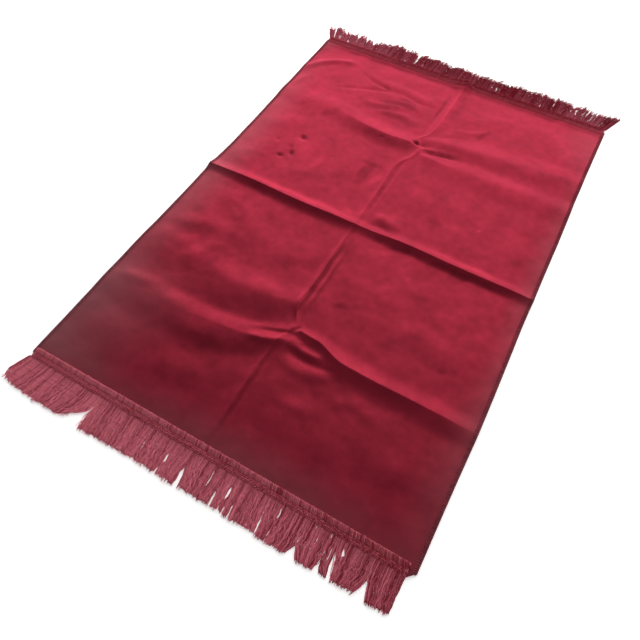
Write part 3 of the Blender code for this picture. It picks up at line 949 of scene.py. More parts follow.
@dataclass(frozen=True)
class VelvetPile(Finish):
    """Polyester velvet, woven double, cut and sheared.

    Its upright fibres drink the light that falls on them from above and give it back along the
    surface, so it is dark where it is looked into and bright where it turns away: that is the
    sheen and the broad gloss. Handling leaves the pile in blotches, and the cloth's attribute
    adds painted shade and painted highlights by the folds on top.
    """

    name: str = "velvet_cut_pile"
    deep: str = "#671622"
    full: str = "#902334"
    # Grey of the painted sheen, a veil of reflected light over the pile
    painted_sheen_grey: str = "#7f4f54"
    edge_tint: str = "#ffaabc"
    sheen_tint: str = "#e8607a"
    sheen: float = 0.4
    sheen_roughness: float = 0.42
    metallic: float = 0.65
    gloss: float = 0.1
    roughness: tuple[float, float] = (0.46, 0.56)
    blotch_mm: float = 44.0
    crush_mm: float = 14.0
    pile_mm: float = 1.1
    rumple_mm: float = 46.0
    rumple_depth_mm: float = 1.35
    crush_depth_mm: float = 0.22
    pile_depth_mm: float = 0.10
    blotch_share: float = 0.7
    crush_share: float = 0.48
    pile_share: float = 0.3

    def material(self) -> bpy.types.Material:
        """Build the material.

        Returns:
            The pile's material.
        """
        material, tree, shader, place = self.start()
        blotches = add_node(
            tree, "ShaderNodeTexNoise", None,
            {"Vector": place, "Scale": per_metre(self.blotch_mm), "Detail": 2.0, "Roughness": 0.5,
             "Distortion": 0.3},
        )
        rumple = add_node(
            tree, "ShaderNodeTexNoise", None,
            {"Vector": place, "Scale": per_metre(self.rumple_mm), "Detail": 1.0, "Roughness": 0.4},
        )
        crush = add_node(
            tree, "ShaderNodeTexNoise", None,
            {"Vector": place, "Scale": per_metre(self.crush_mm), "Detail": 1.5, "Roughness": 0.5},
        )
        # Real pile is 0.2 mm across; it is drawn coarser, so that it still shows as a grain.
        pile = add_node(
            tree, "ShaderNodeTexNoise", None,
            {"Vector": place, "Scale": per_metre(self.pile_mm), "Detail": 2.0, "Roughness": 0.7},
        )
        # The cloth's attribute: painted shade and painted highlights by the folds, dents and crease, with
        # the pile's own mottling
        nap_and_painted_shading = add_node(
            tree, "ShaderNodeAttribute", {"attribute_type": "GEOMETRY", "attribute_name": "nap_and_painted_shading"}
        )
        # The cloth's attribute of painted grey sheen
        painted_grey_sheen = add_node(
            tree, "ShaderNodeAttribute", {"attribute_type": "GEOMETRY", "attribute_name": "painted_grey_sheen"}
        )
        # Random blotches, with the attribute's painted shade and painted highlights on top
        handled_and_painted_shading = add_node(
            tree, "ShaderNodeMath", {"operation": "MULTIPLY_ADD"},
            {0: blotches.outputs["Fac"], 1: self.blotch_share, 2: nap_and_painted_shading.outputs["Fac"]},
        )
        crumpled = add_node(
            tree, "ShaderNodeMath", {"operation": "MULTIPLY_ADD"},
            {0: crush.outputs["Fac"], 1: self.crush_share, 2: handled_and_painted_shading.outputs[0]},
        )
        tone = add_node(
            tree, "ShaderNodeMath", {"operation": "MULTIPLY_ADD"},
            {0: pile.outputs["Fac"], 1: self.pile_share, 2: crumpled.outputs[0]},
        )
        mean = (self.blotch_share + self.crush_share + self.pile_share) / 2
        share = add_node(
            tree, "ShaderNodeMapRange", None,
            {"Value": tone.outputs[0], "From Min": mean - 0.5, "From Max": mean + 0.5, "To Min": 0.0,
             "To Max": 1.0},
        )
        before_sheen = add_node(
            tree, "ShaderNodeMix", {"data_type": "RGBA"},
            {0: share.outputs[0], 6: linear(self.deep), 7: linear(self.full)},
        )
        # Mixed towards grey where the painted sheen lies
        colour = add_node(
            tree, "ShaderNodeMix", {"data_type": "RGBA"},
            {0: painted_grey_sheen.outputs["Fac"], 6: before_sheen.outputs[2], 7: linear(self.painted_sheen_grey)},
        )
        low, high = self.roughness
        rough = add_node(
            tree, "ShaderNodeMapRange", None,
            {"Value": share.outputs[0], "From Min": 0.0, "From Max": 1.0, "To Min": high, "To Max": low},
        )
        rumpled = add_node(
            tree, "ShaderNodeBump", None,
            {"Height": rumple.outputs["Fac"], "Distance": self.rumple_depth_mm * MM, "Strength": 1.0},
        )
        crushed = add_node(
            tree, "ShaderNodeBump", None,
            {"Height": crush.outputs["Fac"], "Distance": self.crush_depth_mm * MM, "Strength": 1.0,
             "Normal": rumpled.outputs["Normal"]},
        )
        grain = add_node(
            tree, "ShaderNodeBump", None,
            {"Height": pile.outputs["Fac"], "Distance": self.pile_depth_mm * MM, "Strength": 0.7,
             "Normal": crushed.outputs["Normal"]},
        )
        tree.links.new(colour.outputs[2], shader.inputs["Base Color"])
        tree.links.new(rough.outputs[0], shader.inputs["Roughness"])
        tree.links.new(grain.outputs["Normal"], shader.inputs["Normal"])
        shader.inputs["Metallic"].default_value = self.metallic
        shader.inputs["Specular IOR Level"].default_value = self.gloss
        shader.inputs["Specular Tint"].default_value = linear(self.edge_tint)
        shader.inputs["Sheen Weight"].default_value = self.sheen
        shader.inputs["Sheen Roughness"].default_value = self.sheen_roughness
        shader.inputs["Sheen Tint"].default_value = linear(self.sheen_tint)
        return material


@dataclass(frozen=True)
class KnitBack(Finish):
    """The velvet's ground, knitted of matt polyester: rows of small loops under the pile.

    Its loops stand in a grid, painted lighter where they catch the light and with painted shade in
    the valleys between them, so that it looks dull and ribbed beside the pile.
    """

    name: str = "velvet_ground_knitted"
    # Painted shade of the valleys between the loops, and the loops' lit colour
    valley: str = "#4a1420"
    loop: str = "#7c2a38"
    row_mm: float = 2.2
    depth_mm: float = 0.25
    roughness: float = 0.85

    def material(self) -> bpy.types.Material:
        """Build the material.

        Returns:
            The knitted ground's material.
        """
        material, tree, shader, place = self.start()
        rows = add_node(
            tree, "ShaderNodeTexWave", {"wave_type": "BANDS", "bands_direction": "X"},
            {"Vector": place, "Scale": per_metre(self.row_mm) / TURN, "Distortion": 0.4,
             "Detail": 1.0},
        )
        loops = add_node(
            tree, "ShaderNodeTexWave", {"wave_type": "BANDS", "bands_direction": "Y"},
            {"Vector": place, "Scale": per_metre(self.row_mm) / TURN, "Distortion": 0.6,
             "Detail": 1.0},
        )
        knit = add_node(
            tree, "ShaderNodeMath", {"operation": "MULTIPLY"},
            {0: rows.outputs["Fac"], 1: loops.outputs["Fac"]},
        )
        colour = add_node(
            tree, "ShaderNodeMix", {"data_type": "RGBA"},
            {0: knit.outputs[0], 6: linear(self.valley), 7: linear(self.loop)},
        )
        relief = add_node(
            tree, "ShaderNodeBump", None,
            {"Height": knit.outputs[0], "Distance": self.depth_mm * MM, "Strength": 0.8},
        )
        tree.links.new(colour.outputs[2], shader.inputs["Base Color"])
        tree.links.new(relief.outputs["Normal"], shader.inputs["Normal"])
        shader.inputs["Roughness"].default_value = self.roughness
        return material


@dataclass(frozen=True)
class SpunYarn(Finish):
    """Spun yarn or thread, piece-dyed: matt, with fine plies and each length a little off in tone.

    Its loose fibre ends scatter the light, so that it has a soft rim and no bright spot. The tone is
    the piece's own attribute, one value for each yarn.
    """

    name: str = "fringe_yarn_spun"
    dark: str = "#7b1229"
    light: str = "#db7484"
    ply_mm: float = 0.9
    ply_depth_mm: float = 0.12
    roughness: float = 0.75
    gloss: float = 0.2
    sheen: float = 0.12
    sheen_tint: str = "#d06a78"
    fibre_share: float = 0.5
    tone_range: tuple[float, float] = (0.2, 1.1)

    def material(self) -> bpy.types.Material:
        """Build the material.

        Returns:
            The yarn's material.
        """
        material, tree, shader, place = self.start()
        tone = add_node(
            tree, "ShaderNodeAttribute", {"attribute_type": "GEOMETRY", "attribute_name": "tone"}
        )
        fibres = add_node(
            tree, "ShaderNodeTexNoise", None,
            {"Vector": place, "Scale": per_metre(self.ply_mm), "Detail": 2.0, "Roughness": 0.6},
        )
        mixed = add_node(
            tree, "ShaderNodeMath", {"operation": "MULTIPLY_ADD", "use_clamp": True},
            {0: fibres.outputs["Fac"], 1: self.fibre_share, 2: tone.outputs["Fac"]},
        )
        low, high = self.tone_range
        share = add_node(
            tree, "ShaderNodeMapRange", None,
            {"Value": mixed.outputs[0], "From Min": low, "From Max": high, "To Min": 0.0, "To Max": 1.0},
        )
        colour = add_node(
            tree, "ShaderNodeMix", {"data_type": "RGBA"},
            {0: share.outputs[0], 6: linear(self.dark), 7: linear(self.light)},
        )
        relief = add_node(
            tree, "ShaderNodeBump", None,
            {"Height": fibres.outputs["Fac"], "Distance": self.ply_depth_mm * MM, "Strength": 0.6},
        )
        tree.links.new(colour.outputs[2], shader.inputs["Base Color"])
        tree.links.new(relief.outputs["Normal"], shader.inputs["Normal"])
        shader.inputs["Roughness"].default_value = self.roughness
        shader.inputs["Specular IOR Level"].default_value = self.gloss
        shader.inputs["Sheen Weight"].default_value = self.sheen
        shader.inputs["Sheen Tint"].default_value = linear(self.sheen_tint)
        return material


@dataclass(frozen=True)
class StudioSweep(Finish):
    """Matt white backdrop board under the rug, with a trace of its own light to keep it even."""

    name: str = "backdrop_board"
    colour: str = "#f4f4f2"
    roughness: float = 0.9
    glow_colour: str = "#ffffff"
    glow: float = 0.4

    def material(self) -> bpy.types.Material:
        """Build the material.

        Returns:
            The board's material.
        """
        material, _, shader, _ = self.start()
        shader.inputs["Base Color"].default_value = linear(self.colour)
        shader.inputs["Roughness"].default_value = self.roughness
        shader.inputs["Emission Color"].default_value = linear(self.glow_colour)
        shader.inputs["Emission Strength"].default_value = self.glow
        return material


# ---------------------------------------------------------------- the cloth's shape


@dataclass
class RugSurface:
    """Where the cloth lies: its outline and how high its folds lift it.

    The broad and the narrow slice are where the two patterns of small waves are cut through.
    """

    width: float
    length: float
    thickness: float = 2.5 * MM
    corner_cut: float = 5.0 * MM
    unevenness: float = 0.35 * MM
    uneven_over: float = 42.0 * MM
    broad_slice: float = 0.5
    pinch: float = 0.9 * MM
    pinch_over: float = 16.0 * MM
    pinch_share: float = 0.12
    narrow_slice: float = 7.5
    flat_end: float = 30.0 * MM
    wrinkle_fade: float = 0.3
    ragged_share: float = 0.16
    most_ragged_mm: float = 3.0
    ragged_waves_mm: tuple[float, float] = (9.0, 11.0)

    def side(self, y: np.ndarray, side: Side) -> np.ndarray:
        """Work out where a long side runs.

        Args:
            y: Places along the rug, in metres.
            side: The side.

        Returns:
            The x of the side at each place, in metres.
        """
        bow = along(SIDE_BOWS, y / self.length + 0.5, side.name.lower()) * MM
        cut = np.maximum(0.0, self.corner_cut - (self.length / 2 - np.abs(y)))
        return side.value * (self.width / 2 + bow - cut)

    def fold_lift(self, fold: Sequence[Crest], x: np.ndarray, y: np.ndarray) -> np.ndarray:
        """Work out how high one fold across the rug lifts the cloth.

        Args:
            fold: The fold's crest.
            x: Places across the rug, in mm.
            y: Places along the rug, in mm.

        Returns:
            The lift at each place, in mm.
        """
        crest = along(fold, x, "y")
        reach = np.where(y > crest, along(fold, x, "far_reach"), along(fold, x, "near_reach"))
        height = np.maximum(0.0, along(fold, x, "height"))
        here = (x >= fold[0].x) & (x <= fold[-1].x)
        return here * height * slope(np.abs(y - crest) / reach, along(fold, x, "sharpness"))

    def centre_lift(self, line: Sequence[Centre], x: np.ndarray, y: np.ndarray) -> np.ndarray:
        """Work out how high one crease down the centre lifts the cloth.

        Args:
            line: The crease's crest.
            x: Places across the rug, in mm.
            y: Places along the rug, in mm.

        Returns:
            The lift at each place, in mm.
        """
        away = x - along(line, y, "x")
        reach = np.where(away > 0, along(line, y, "right_reach"), along(line, y, "left_reach"))
        return along(line, y, "height") * slope(np.abs(away) / reach, 1.0)

    def wrinkle_lift(self, wrinkle: Wrinkle, x: np.ndarray, y: np.ndarray) -> np.ndarray:
        """Work out how high one wrinkle lifts the cloth. It fades out at both ends.

        Args:
            wrinkle: The wrinkle.
            x: Places across the rug, in mm.
            y: Places along the rug, in mm.

        Returns:
            The lift at each place, in mm.
        """
        line = np.array(wrinkle.line, float)
        steps = np.linalg.norm(np.diff(line, axis=0), axis=1)
        starts = np.concatenate([[0.0], np.cumsum(steps)])
        nearest, reached = np.full(x.shape, np.inf), np.zeros(x.shape)
        for start, end, step, passed in zip(line, line[1:], steps, starts):
            way = (end - start) / step
            t = np.clip((x - start[0]) * way[0] + (y - start[1]) * way[1], 0.0, step)
            away = np.hypot(x - start[0] - way[0] * t, y - start[1] - way[1] * t)
            reached = np.where(away < nearest, passed + t, reached)
            nearest = np.minimum(away, nearest)
        share = reached / starts[-1]
        fade = smooth(share / self.wrinkle_fade) * smooth((1.0 - share) / self.wrinkle_fade)
        return wrinkle.height * fade * slope(nearest / wrinkle.reach, wrinkle.sharpness)

    def swell_lift(self, swell: Swell, x: np.ndarray, y: np.ndarray) -> np.ndarray:
        """Return how high one swell lifts the cloth, all in mm."""
        return swell.height * slope(from_middle(swell, x - swell.x, y - swell.y), 0.0)

    def patches(self, table: Sequence[Blotch], x: np.ndarray, y: np.ndarray) -> np.ndarray:
        """Add up the tones of a table's patches, which have ragged outlines.

        Args:
            table: The patches.
            x: Places across the rug, in mm.
            y: Places along the rug, in mm.

        Returns:
            The tone at each place.
        """
        total = np.zeros(x.shape)
        along_y, along_x = self.ragged_waves_mm
        for patch in table:
            ragged = min(self.ragged_share * patch.short_reach, self.most_ragged_mm)
            east = x - patch.x + ragged * np.sin(y / along_y + patch.x)
            north = y - patch.y + ragged * np.sin(x / along_x + patch.y)
            away = from_middle(patch, east, north)
            total += patch.tone * smooth((1.0 - away) / patch.softness)
        return total

    def uneven(self, x: np.ndarray, y: np.ndarray) -> np.ndarray:
        """Work out the small waves that every stored cloth keeps.

        Args:
            x: Places across the rug, in metres.
            y: Places along the rug, in metres.

        Returns:
            The height of the waves at each place, in metres and never below 0.
        """
        broad, narrow = np.zeros(x.shape), np.zeros(x.shape)
        for index, (east, north) in enumerate(zip(x.ravel(), y.ravel())):
            far_apart = (east / self.uneven_over, north / self.uneven_over, self.broad_slice)
            close = (east / self.pinch_over, north / self.pinch_over, self.narrow_slice)
            broad.flat[index] = noise.noise(far_apart)
            narrow.flat[index] = noise.noise(close)
        waves = self.unevenness * (1.0 + broad) + self.pinch * self.pinch_share * (1.0 + narrow)
        from_end = self.length / 2 - np.abs(y)
        return waves * smooth(from_end / self.flat_end)

    def lift(self, x: np.ndarray, y: np.ndarray) -> tuple[np.ndarray, np.ndarray]:
        """Work out how high the cloth is off the floor.

        Args:
            x: Places across the rug, in metres.
            y: Places along the rug, in metres.

        Returns:
            The heights of the underside and of the pile's tips, in metres.
        """
        east, north = x / MM, y / MM
        total = np.zeros(x.shape)
        for waves in FOLDS.values():
            total += np.maximum.reduce([self.fold_lift(wave, east, north) for wave in waves])
        for line in (CENTRE_LINE, CENTRE_SECOND_LINE):
            total += self.centre_lift(line, east, north)
        total += sum(self.wrinkle_lift(wrinkle, east, north) for wrinkle in WRINKLES)
        total += sum(self.swell_lift(swell, east, north) for swell in SWELLS)
        lifted = total * MM + self.uneven(x, y)
        return np.maximum(0.0, lifted), lifted + self.thickness

    def edge_height(self, x: np.ndarray, y: np.ndarray) -> np.ndarray:
        """Return the height of the cloth's underside at places along an edge."""
        return self.lift(x, y)[0]


@dataclass
class RugCloth:
    """The velvet sheet: one closed sheet on its folds, pile above and knitted ground below.

    Near the centre line, the close rows pass from the left half's folds to the right half's.
    """

    surface: RugSurface
    widest: float = 4.5 * MM
    finest: float = 1.2 * MM
    growth: float = 0.12
    bend_reach: float = 110.0 * MM
    pass_start_mm: float = -20.0
    pass_over_mm: float = 45.0
    left_line_stop_mm: float = 16.0
    right_line_start_mm: float = 10.0
    corner_start: float = 335.0 * MM
    corner_width: float = 6.0 * MM
    corner_depth: float = 22.0 * MM
    corner_drop: float = 6.5 * MM
    sharp_angle: float = 60.0

    def line(self, fold: CrossFold, x: np.ndarray) -> np.ndarray:
        """Work out where the crest that the close rows follow lies.

        Args:
            fold: The fold line.
            x: Places across the rug, in metres.

        Returns:
            The y of the crest at each place, in metres.
        """
        if fold is CrossFold.MIDDLE:
            return along(FOLDS["middle"][0], x / MM, "y") * MM
        if fold is CrossFold.NEAR:
            left, right = FOLDS["near left"][0], FOLDS["near right"][0]
        else:
            left, right = FOLDS["far left"][0], FOLDS["far right"][1]
        share = smooth((x / MM - self.pass_start_mm) / self.pass_over_mm)
        left_y = along(left, np.minimum(x / MM, self.left_line_stop_mm), "y")
        right_y = along(right, np.maximum(x / MM, self.right_line_start_mm), "y")
        return (left_y * (1.0 - share) + right_y * share) * MM

    def places(self) -> tuple[np.ndarray, np.ndarray]:
        """Set out the sheet's rows and columns.

        Returns:
            The x and the y of every grid point, one row of the sheet in each row.
        """
        half = self.surface.length / 2
        cut = self.surface.corner_cut
        centres = [fold.value for fold in CrossFold]
        rows = graded((-half, *centres, half), self.widest, self.finest, self.growth)
        rows = np.sort(np.append(rows, (cut - half, half - cut)))
        across = graded(
            (-self.surface.width / 2, 0.0, self.surface.width / 2),
            self.widest, self.finest, self.growth,
        )
        x, row = np.meshgrid(across, rows)
        y = row.copy()
        for fold in CrossFold:
            near_fold = 1.0 - smooth(np.abs(row - fold.value) / self.bend_reach)
            y += (self.line(fold, x) - fold.value) * near_fold
        bend = along(CENTRE_LINE, y / MM, "x") * MM
        x = x + bend * (1.0 - smooth(np.abs(x) / self.bend_reach))
        # The near right corner hangs past the heading's end
        past = smooth((x - self.corner_start) / self.corner_width)
        y = y - self.corner_drop * past * smooth(1.0 - (y + half) / self.corner_depth)
        left, right = self.surface.side(y, Side.LEFT), self.surface.side(y, Side.RIGHT)
        return left + (right - left) * (x / self.surface.width + 0.5), y

    def build(self, velvet: bpy.types.Material, back: bpy.types.Material) -> bpy.types.Object:
        """Make the sheet.

        Args:
            velvet: The pile's material.
            back: The knitted ground's material.

        Returns:
            The sheet as one closed piece.
        """
        x, y = self.places()
        below, above = self.surface.lift(x, y)
        rows, columns = x.shape
        bm = bmesh.new()
        bmesh.ops.create_grid(bm, x_segments=columns - 1, y_segments=rows - 1, size=0.5)
        drawn = bmesh.ops.extrude_face_region(bm, geom=bm.faces[:], use_keep_orig=True)
        raised = [item for item in drawn["geom"] if isinstance(item, bmesh.types.BMVert)]
        bmesh.ops.translate(bm, verts=raised, vec=(0.0, 0.0, 1.0))
        bmesh.ops.recalc_face_normals(bm, faces=bm.faces[:])
        for face in bm.faces:
            face.smooth = True
            face.material_index = 1 if face.normal.z < -0.5 else 0
        mesh = bpy.data.meshes.new("velvet_cloth")
        bm.to_mesh(mesh)
        bm.free()
        unit = points_of(mesh)
        column_index = np.rint((unit[:, 0] + 0.5) * (columns - 1)).astype(int)
        row_index = np.rint((unit[:, 1] + 0.5) * (rows - 1)).astype(int)
        heights = np.where(unit[:, 2] > 0.5, above[row_index, column_index], below[row_index, column_index])
        set_points(mesh, np.stack([x[row_index, column_index], y[row_index, column_index], heights], axis=1))
        mesh.set_sharp_from_angle(angle=math.radians(self.sharp_angle))
        # The cloth carries its painted shade and highlights, and its painted grey sheen, as attributes
        for name, table in (("nap_and_painted_shading", NAP_AND_PAINTED_SHADING), ("painted_grey_sheen", PAINTED_SHEEN_PATCHES)):
            tone = self.surface.patches(table, x / MM, y / MM)[row_index, column_index]
            mesh.attributes.new(name, "FLOAT", "POINT").data.foreach_set("value", tone.astype(np.float32))
        return fit(mesh_object("velvet_cloth", mesh, velvet, back), "rug_body")


# ---------------------------------------------------------------- joined yarns


@dataclass
class YarnBundle:
    """Many like lengths of yarn as one joined mesh, set out by an array and then laid.

    A yarn that leans less than least_lean counts as upright, and is then turned to face along X.
    """

    name: str
    count: int
    rings: int
    sides: int = 4
    blank_radius: float = 0.25
    least_lean: float = 0.05

    def blank(self) -> bpy.types.Mesh:
        """Make the straight lengths: one closed tube, repeated along X by an array.

        Returns:
            The mesh of all the lengths, a metre apart.
        """
        bm = bmesh.new()
        bmesh.ops.create_circle(bm, cap_ends=True, segments=self.sides, radius=self.blank_radius)
        face = bm.faces[:][0]
        start = list(face.verts)
        for _ in range(self.rings - 1):
            face = bmesh.ops.extrude_discrete_faces(bm, faces=[face])["faces"][0]
            bmesh.ops.translate(bm, verts=face.verts[:], vec=(0.0, 0.0, 1.0))
        bm.faces.new(reversed(start))
        bmesh.ops.recalc_face_normals(bm, faces=bm.faces[:])
        for face in bm.faces:
            face.smooth = True
        one = bpy.data.meshes.new(self.name + "_one")
        bm.to_mesh(one)
        bm.free()
        carrier = mesh_object(self.name + "_blank", one)
        row = carrier.modifiers.new("row", "ARRAY")
        row.count = self.count
        row.use_relative_offset = False
        row.use_constant_offset = True
        row.constant_offset_displace = (1.0, 0.0, 0.0)
        evaluated = carrier.evaluated_get(bpy.context.evaluated_depsgraph_get())
        joined = bpy.data.meshes.new_from_object(evaluated)
        joined.name = self.name
        bpy.data.objects.remove(carrier)
        bpy.data.meshes.remove(one)
        return joined

    def lay(
        self,
        paths: np.ndarray,
        radii: np.ndarray,
        tones: np.ndarray,
        material: bpy.types.Material,
        twist: float = 0.0,
    ) -> bpy.types.Object:
        """Lay each length along its own path.

        Args:
            paths: The middle of each ring: (yarn, ring, xyz).
            radii: The radius of each ring: (yarn, ring).
            tones: One tone for each yarn, from 0 to 1.
            material: The yarn's material.
            twist: How far each ring is turned from the one before, in radians.

        Returns:
            The joined piece.
        """
        mesh = self.blank()
        flat = points_of(mesh)
        yarn = np.clip(np.rint(flat[:, 0]).astype(int), 0, self.count - 1)
        ring = np.rint(flat[:, 2]).astype(int)
        angle = np.arctan2(flat[:, 1], flat[:, 0] - yarn) + twist * ring
        ahead = np.gradient(paths, axis=1)
        ahead /= np.maximum(np.linalg.norm(ahead, axis=2, keepdims=True), TINY)
        aside = np.cross(ahead, np.array([0.0, 0.0, 1.0]))
        lean = np.linalg.norm(aside, axis=2, keepdims=True)
        to_x = np.array([1.0, 0.0, 0.0])
        aside = np.where(lean > self.least_lean, aside / np.maximum(lean, TINY), to_x)
        upward = np.cross(aside, ahead)
        reach = radii[yarn, ring][:, None]
        placed = (
            paths[yarn, ring]
            + reach * np.cos(angle)[:, None] * aside[yarn, ring]
            + reach * np.sin(angle)[:, None] * upward[yarn, ring]
        )
        set_points(mesh, placed)
        tone = mesh.attributes.new("tone", "FLOAT", "POINT")
        tone.data.foreach_set("value", tones[yarn].astype(np.float32))
        bm = bmesh.new()
        bm.from_mesh(mesh)
        bmesh.ops.recalc_face_normals(bm, faces=bm.faces[:])
        bm.to_mesh(mesh)
        bm.free()
        return mesh_object(self.name, mesh, material)


# ---------------------------------------------------------------- the fringe


class Yarns(NamedTuple):
    """One value for each yarn of a fringe, and how many tufts and wisps they make.

    The ground yarns lie lowest and straight, and the loose ones lie over them in layers.
    """

    root: np.ndarray
    ground: np.ndarray
    loose: np.ndarray
    tuft: np.ndarray
    tuft_middle: np.ndarray
    tuft_count: int
    level: np.ndarray
    wisp: np.ndarray
    wisp_count: int


@dataclass
class BrushFringe:
    """The cut yarns of one end, sewn in a heading. Sizes are in millimetres."""

    node: str
    end: End
    left: float
    right: float
    locks: tuple[Lock, ...]
    slits: tuple[Slit, ...]
    shades: tuple[Shade, ...]
    finish: SpunYarn
    seed: int
    count: int = 1720
    rings: int = 18
    sides: int = 3
    heading_edge: float = 520.5
    end_margin: float = 0.8
    root_jitter: float = 0.5
    ring_growth: float = 1.1
    tucked: float = -3.2
    root_height: float = 3.3
    thickness: float = 1.3
    ground_thickness: float = 1.7
    ground_short: float = 1.4
    tip: float = 0.7
    layers: int = 3
    layer_step: float = 0.8
    drop: float = 17.0
    clearance: float = 0.05
    layer_shift: float = 0.5
    layer_sink: float = 0.25
    root_layer_share: float = 0.45
    tuft: float = 7.0
    tuft_jitter: float = 0.25
    gather: float = 0.07
    gather_range: tuple[float, float] = (0.5, 1.4)
    middle_tone: float = 0.5
    tuft_tone: float = 0.08
    yarn_tone: float = 0.18
    ground_dark: float = 0.16
    wisp: float = 2.7
    wisp_lean: float = 3.4
    wisp_tone: float = 0.17
    uneven_wisps: float = 0.9
    calm_reach: float = 12.0
    curl: float = 1.25
    curl_length: tuple[float, float] = (13.0, 26.0)
    curl_growth: float = 1.5
    sway_range: tuple[float, float] = (0.4, 1.6)
    ground_sway: float = 0.3
    uneven_phase: float = 0.6
    radius_range: tuple[float, float] = (0.85, 1.15)
    taper: float = 0.15
    tip_taper: float = 0.6
    twist: float = 0.9
    lift: float = 0.3
    lift_growth: float = 1.6
    spread: float = 1.6
    uneven_tips: float = 1.0
    uneven_tufts: float = 0.7
    stray: float = 0.14
    stray_lean: float = 8.0
    notch_growth: float = 1.2
    open_over: float = 0.4
    meet_over: float = 0.3
    push_reach: float = 2.0
    push_growth: float = 1.2

    def lock_values(self, root: np.ndarray) -> dict[str, np.ndarray]:
        """Read each yarn's lean, length and bend from the lock that its root is in.

        Args:
            root: Where each yarn comes out of the heading.

        Returns:
            The three values by name, one for each yarn.
        """
        index = np.clip(np.searchsorted([lock.start for lock in self.locks], root) - 1, 0, None)
        start, end = column(self.locks, "start")[index], column(self.locks, "end")[index]
        share = np.clip((root - start) / (end - start), 0.0, 1.0)
        found = {}
        for name in ("lean", "length", "bend"):
            low = column(self.locks, "start_" + name)[index]
            high = column(self.locks, "end_" + name)[index]
            found[name] = low + share * (high - low)
        return found

    def tufts(self, root: np.ndarray, rng: np.random.Generator) -> tuple[np.ndarray, np.ndarray, int]:
        """Divide the locks into tufts.

        Args:
            root: Where each yarn comes out of the heading.
            rng: The source of chance.

        Returns:
            Each yarn's tuft, the middle of that tuft, and how many tufts there are.
        """
        edges = [self.left]
        for lock in self.locks:
            parts = max(1, round((lock.end - lock.start) / self.tuft))
            inner = np.linspace(lock.start, lock.end, parts + 1)[1:]
            jitter = rng.uniform(-self.tuft_jitter, self.tuft_jitter, parts - 1)
            inner[:-1] += jitter * (lock.end - lock.start) / parts
            edges += list(inner)
        which = np.clip(np.searchsorted(edges, root) - 1, 0, len(edges) - 2)
        middles = (np.array(edges[1:]) + np.array(edges[:-1])) / 2
        return which, middles[which], len(edges) - 1

    def parted(self, x: np.ndarray, out: np.ndarray, stays: np.ndarray) -> np.ndarray:
        """Push the yarns aside at the slits.

        Args:
            x: Every ring's place across the rug.
            out: Every ring's distance out from the heading.
            stays: The yarns that lie across the slits all the same, though not across a notch.

        Returns:
            The places across the rug after the yarns have parted.
        """
        for slit in self.slits:
            share = (out - slit.start) / (slit.stop - slit.start)
            middle = slit.start_x + (slit.stop_x - slit.start_x) * np.clip(share, 0.0, 1.0)
            if slit.parting is Parting.NOTCH:
                opening = np.clip(share, 0.0, self.notch_growth)
            elif slit.parting is Parting.STAYS_OPEN:
                opening = smooth(share / self.open_over)
            else:
                opening = smooth(share / self.meet_over) * smooth((1.0 - share) / self.meet_over)
            first = np.argmin(np.abs(share), axis=1)
            at_start = np.take_along_axis(x, first[:, None], axis=1)
            aside = np.where(at_start < slit.start_x, -1.0, 1.0)
            room = aside * (x - middle)
            reach = self.push_reach + self.push_growth * slit.width
            push = slit.width / 2 * np.exp(-np.maximum(room, 0.0) / reach) + np.maximum(-room, 0.0)
            held = stays & (slit.parting is not Parting.NOTCH)
            x = x + np.where(held[:, None], 0.0, aside * opening * push)
        return x

    def yarns(self, rng: np.random.Generator) -> Yarns:
        """Set out the yarns' roots, and share the yarns out among tufts, layers and wisps.

        Args:
            rng: The source of chance.

        Returns:
            The yarns.
        """
        ground = np.arange(self.count) % self.layers == 0
        loose = np.where(ground, 0.0, 1.0)
        root = np.linspace(self.left + self.end_margin, self.right - self.end_margin, self.count)
        root = root + loose * rng.uniform(-self.root_jitter, self.root_jitter, self.count)
        tuft, tuft_middle, tuft_count = self.tufts(root, rng)
        level = np.where(ground, 0, rng.integers(1, self.layers, self.count))
        place = np.floor((root - self.left) / self.wisp + self.layer_shift * level).astype(int)
        wisp = place * self.layers + level
        return Yarns(root, ground, loose, tuft, tuft_middle, tuft_count, level, wisp, wisp.max() + 1)

    def leans(
        self, yarns: Yarns, lean: np.ndarray, stays: np.ndarray, rng: np.random.Generator
    ) -> np.ndarray:
        """Vary the locks' leans from wisp to wisp and from yarn to yarn, less so by the sides.

        Args:
            yarns: The yarns.
            lean: The lean that each yarn has from its lock.
            stays: The yarns that lie across the slits.
            rng: The source of chance.

        Returns:
            How far each yarn's tip is to the side of its root.
        """
        from_side = np.minimum(yarns.root - self.left, self.right - yarns.root)
        calm = smooth(from_side / self.calm_reach)
        strayed = np.where(stays, rng.uniform(-1.0, 1.0, self.count) * self.stray_lean, 0.0)
        own_lean = rng.normal(0.0, self.wisp_lean, yarns.wisp_count)[yarns.wisp]
        own_lean = own_lean + rng.normal(0.0, self.spread, self.count)
        return lean + calm * (yarns.loose * own_lean + strayed)

    def lengths(self, yarns: Yarns, length: np.ndarray, rng: np.random.Generator) -> np.ndarray:
        """Vary the locks' lengths from tuft to tuft, wisp to wisp and yarn to yarn.

        Args:
            yarns: The yarns.
            length: The length that each yarn has from its lock.
            rng: The source of chance.

        Returns:
            How far out each yarn reaches.
        """
        found = length + rng.normal(0.0, self.uneven_tufts, yarns.tuft_count)[yarns.tuft]
        found += yarns.loose * rng.normal(0.0, self.uneven_wisps, yarns.wisp_count)[yarns.wisp]
        own = rng.normal(0.0, self.uneven_tips, self.count)
        return found + np.where(yarns.ground, -self.ground_short, own)

    def reaches(self, length: np.ndarray) -> np.ndarray:
        """Set out each yarn's rings from its tucked root to its tip.

        Args:
            length: How far out each yarn reaches.

        Returns:
            Every ring's distance out from the heading.
        """
        steps = np.append(np.linspace(0.0, 1.0, self.rings - 1), 1.0)[None, :]
        out = -self.tucked + (length[:, None] + self.tucked) * steps**self.ring_growth
        out[:, -2] -= self.tip
        return out

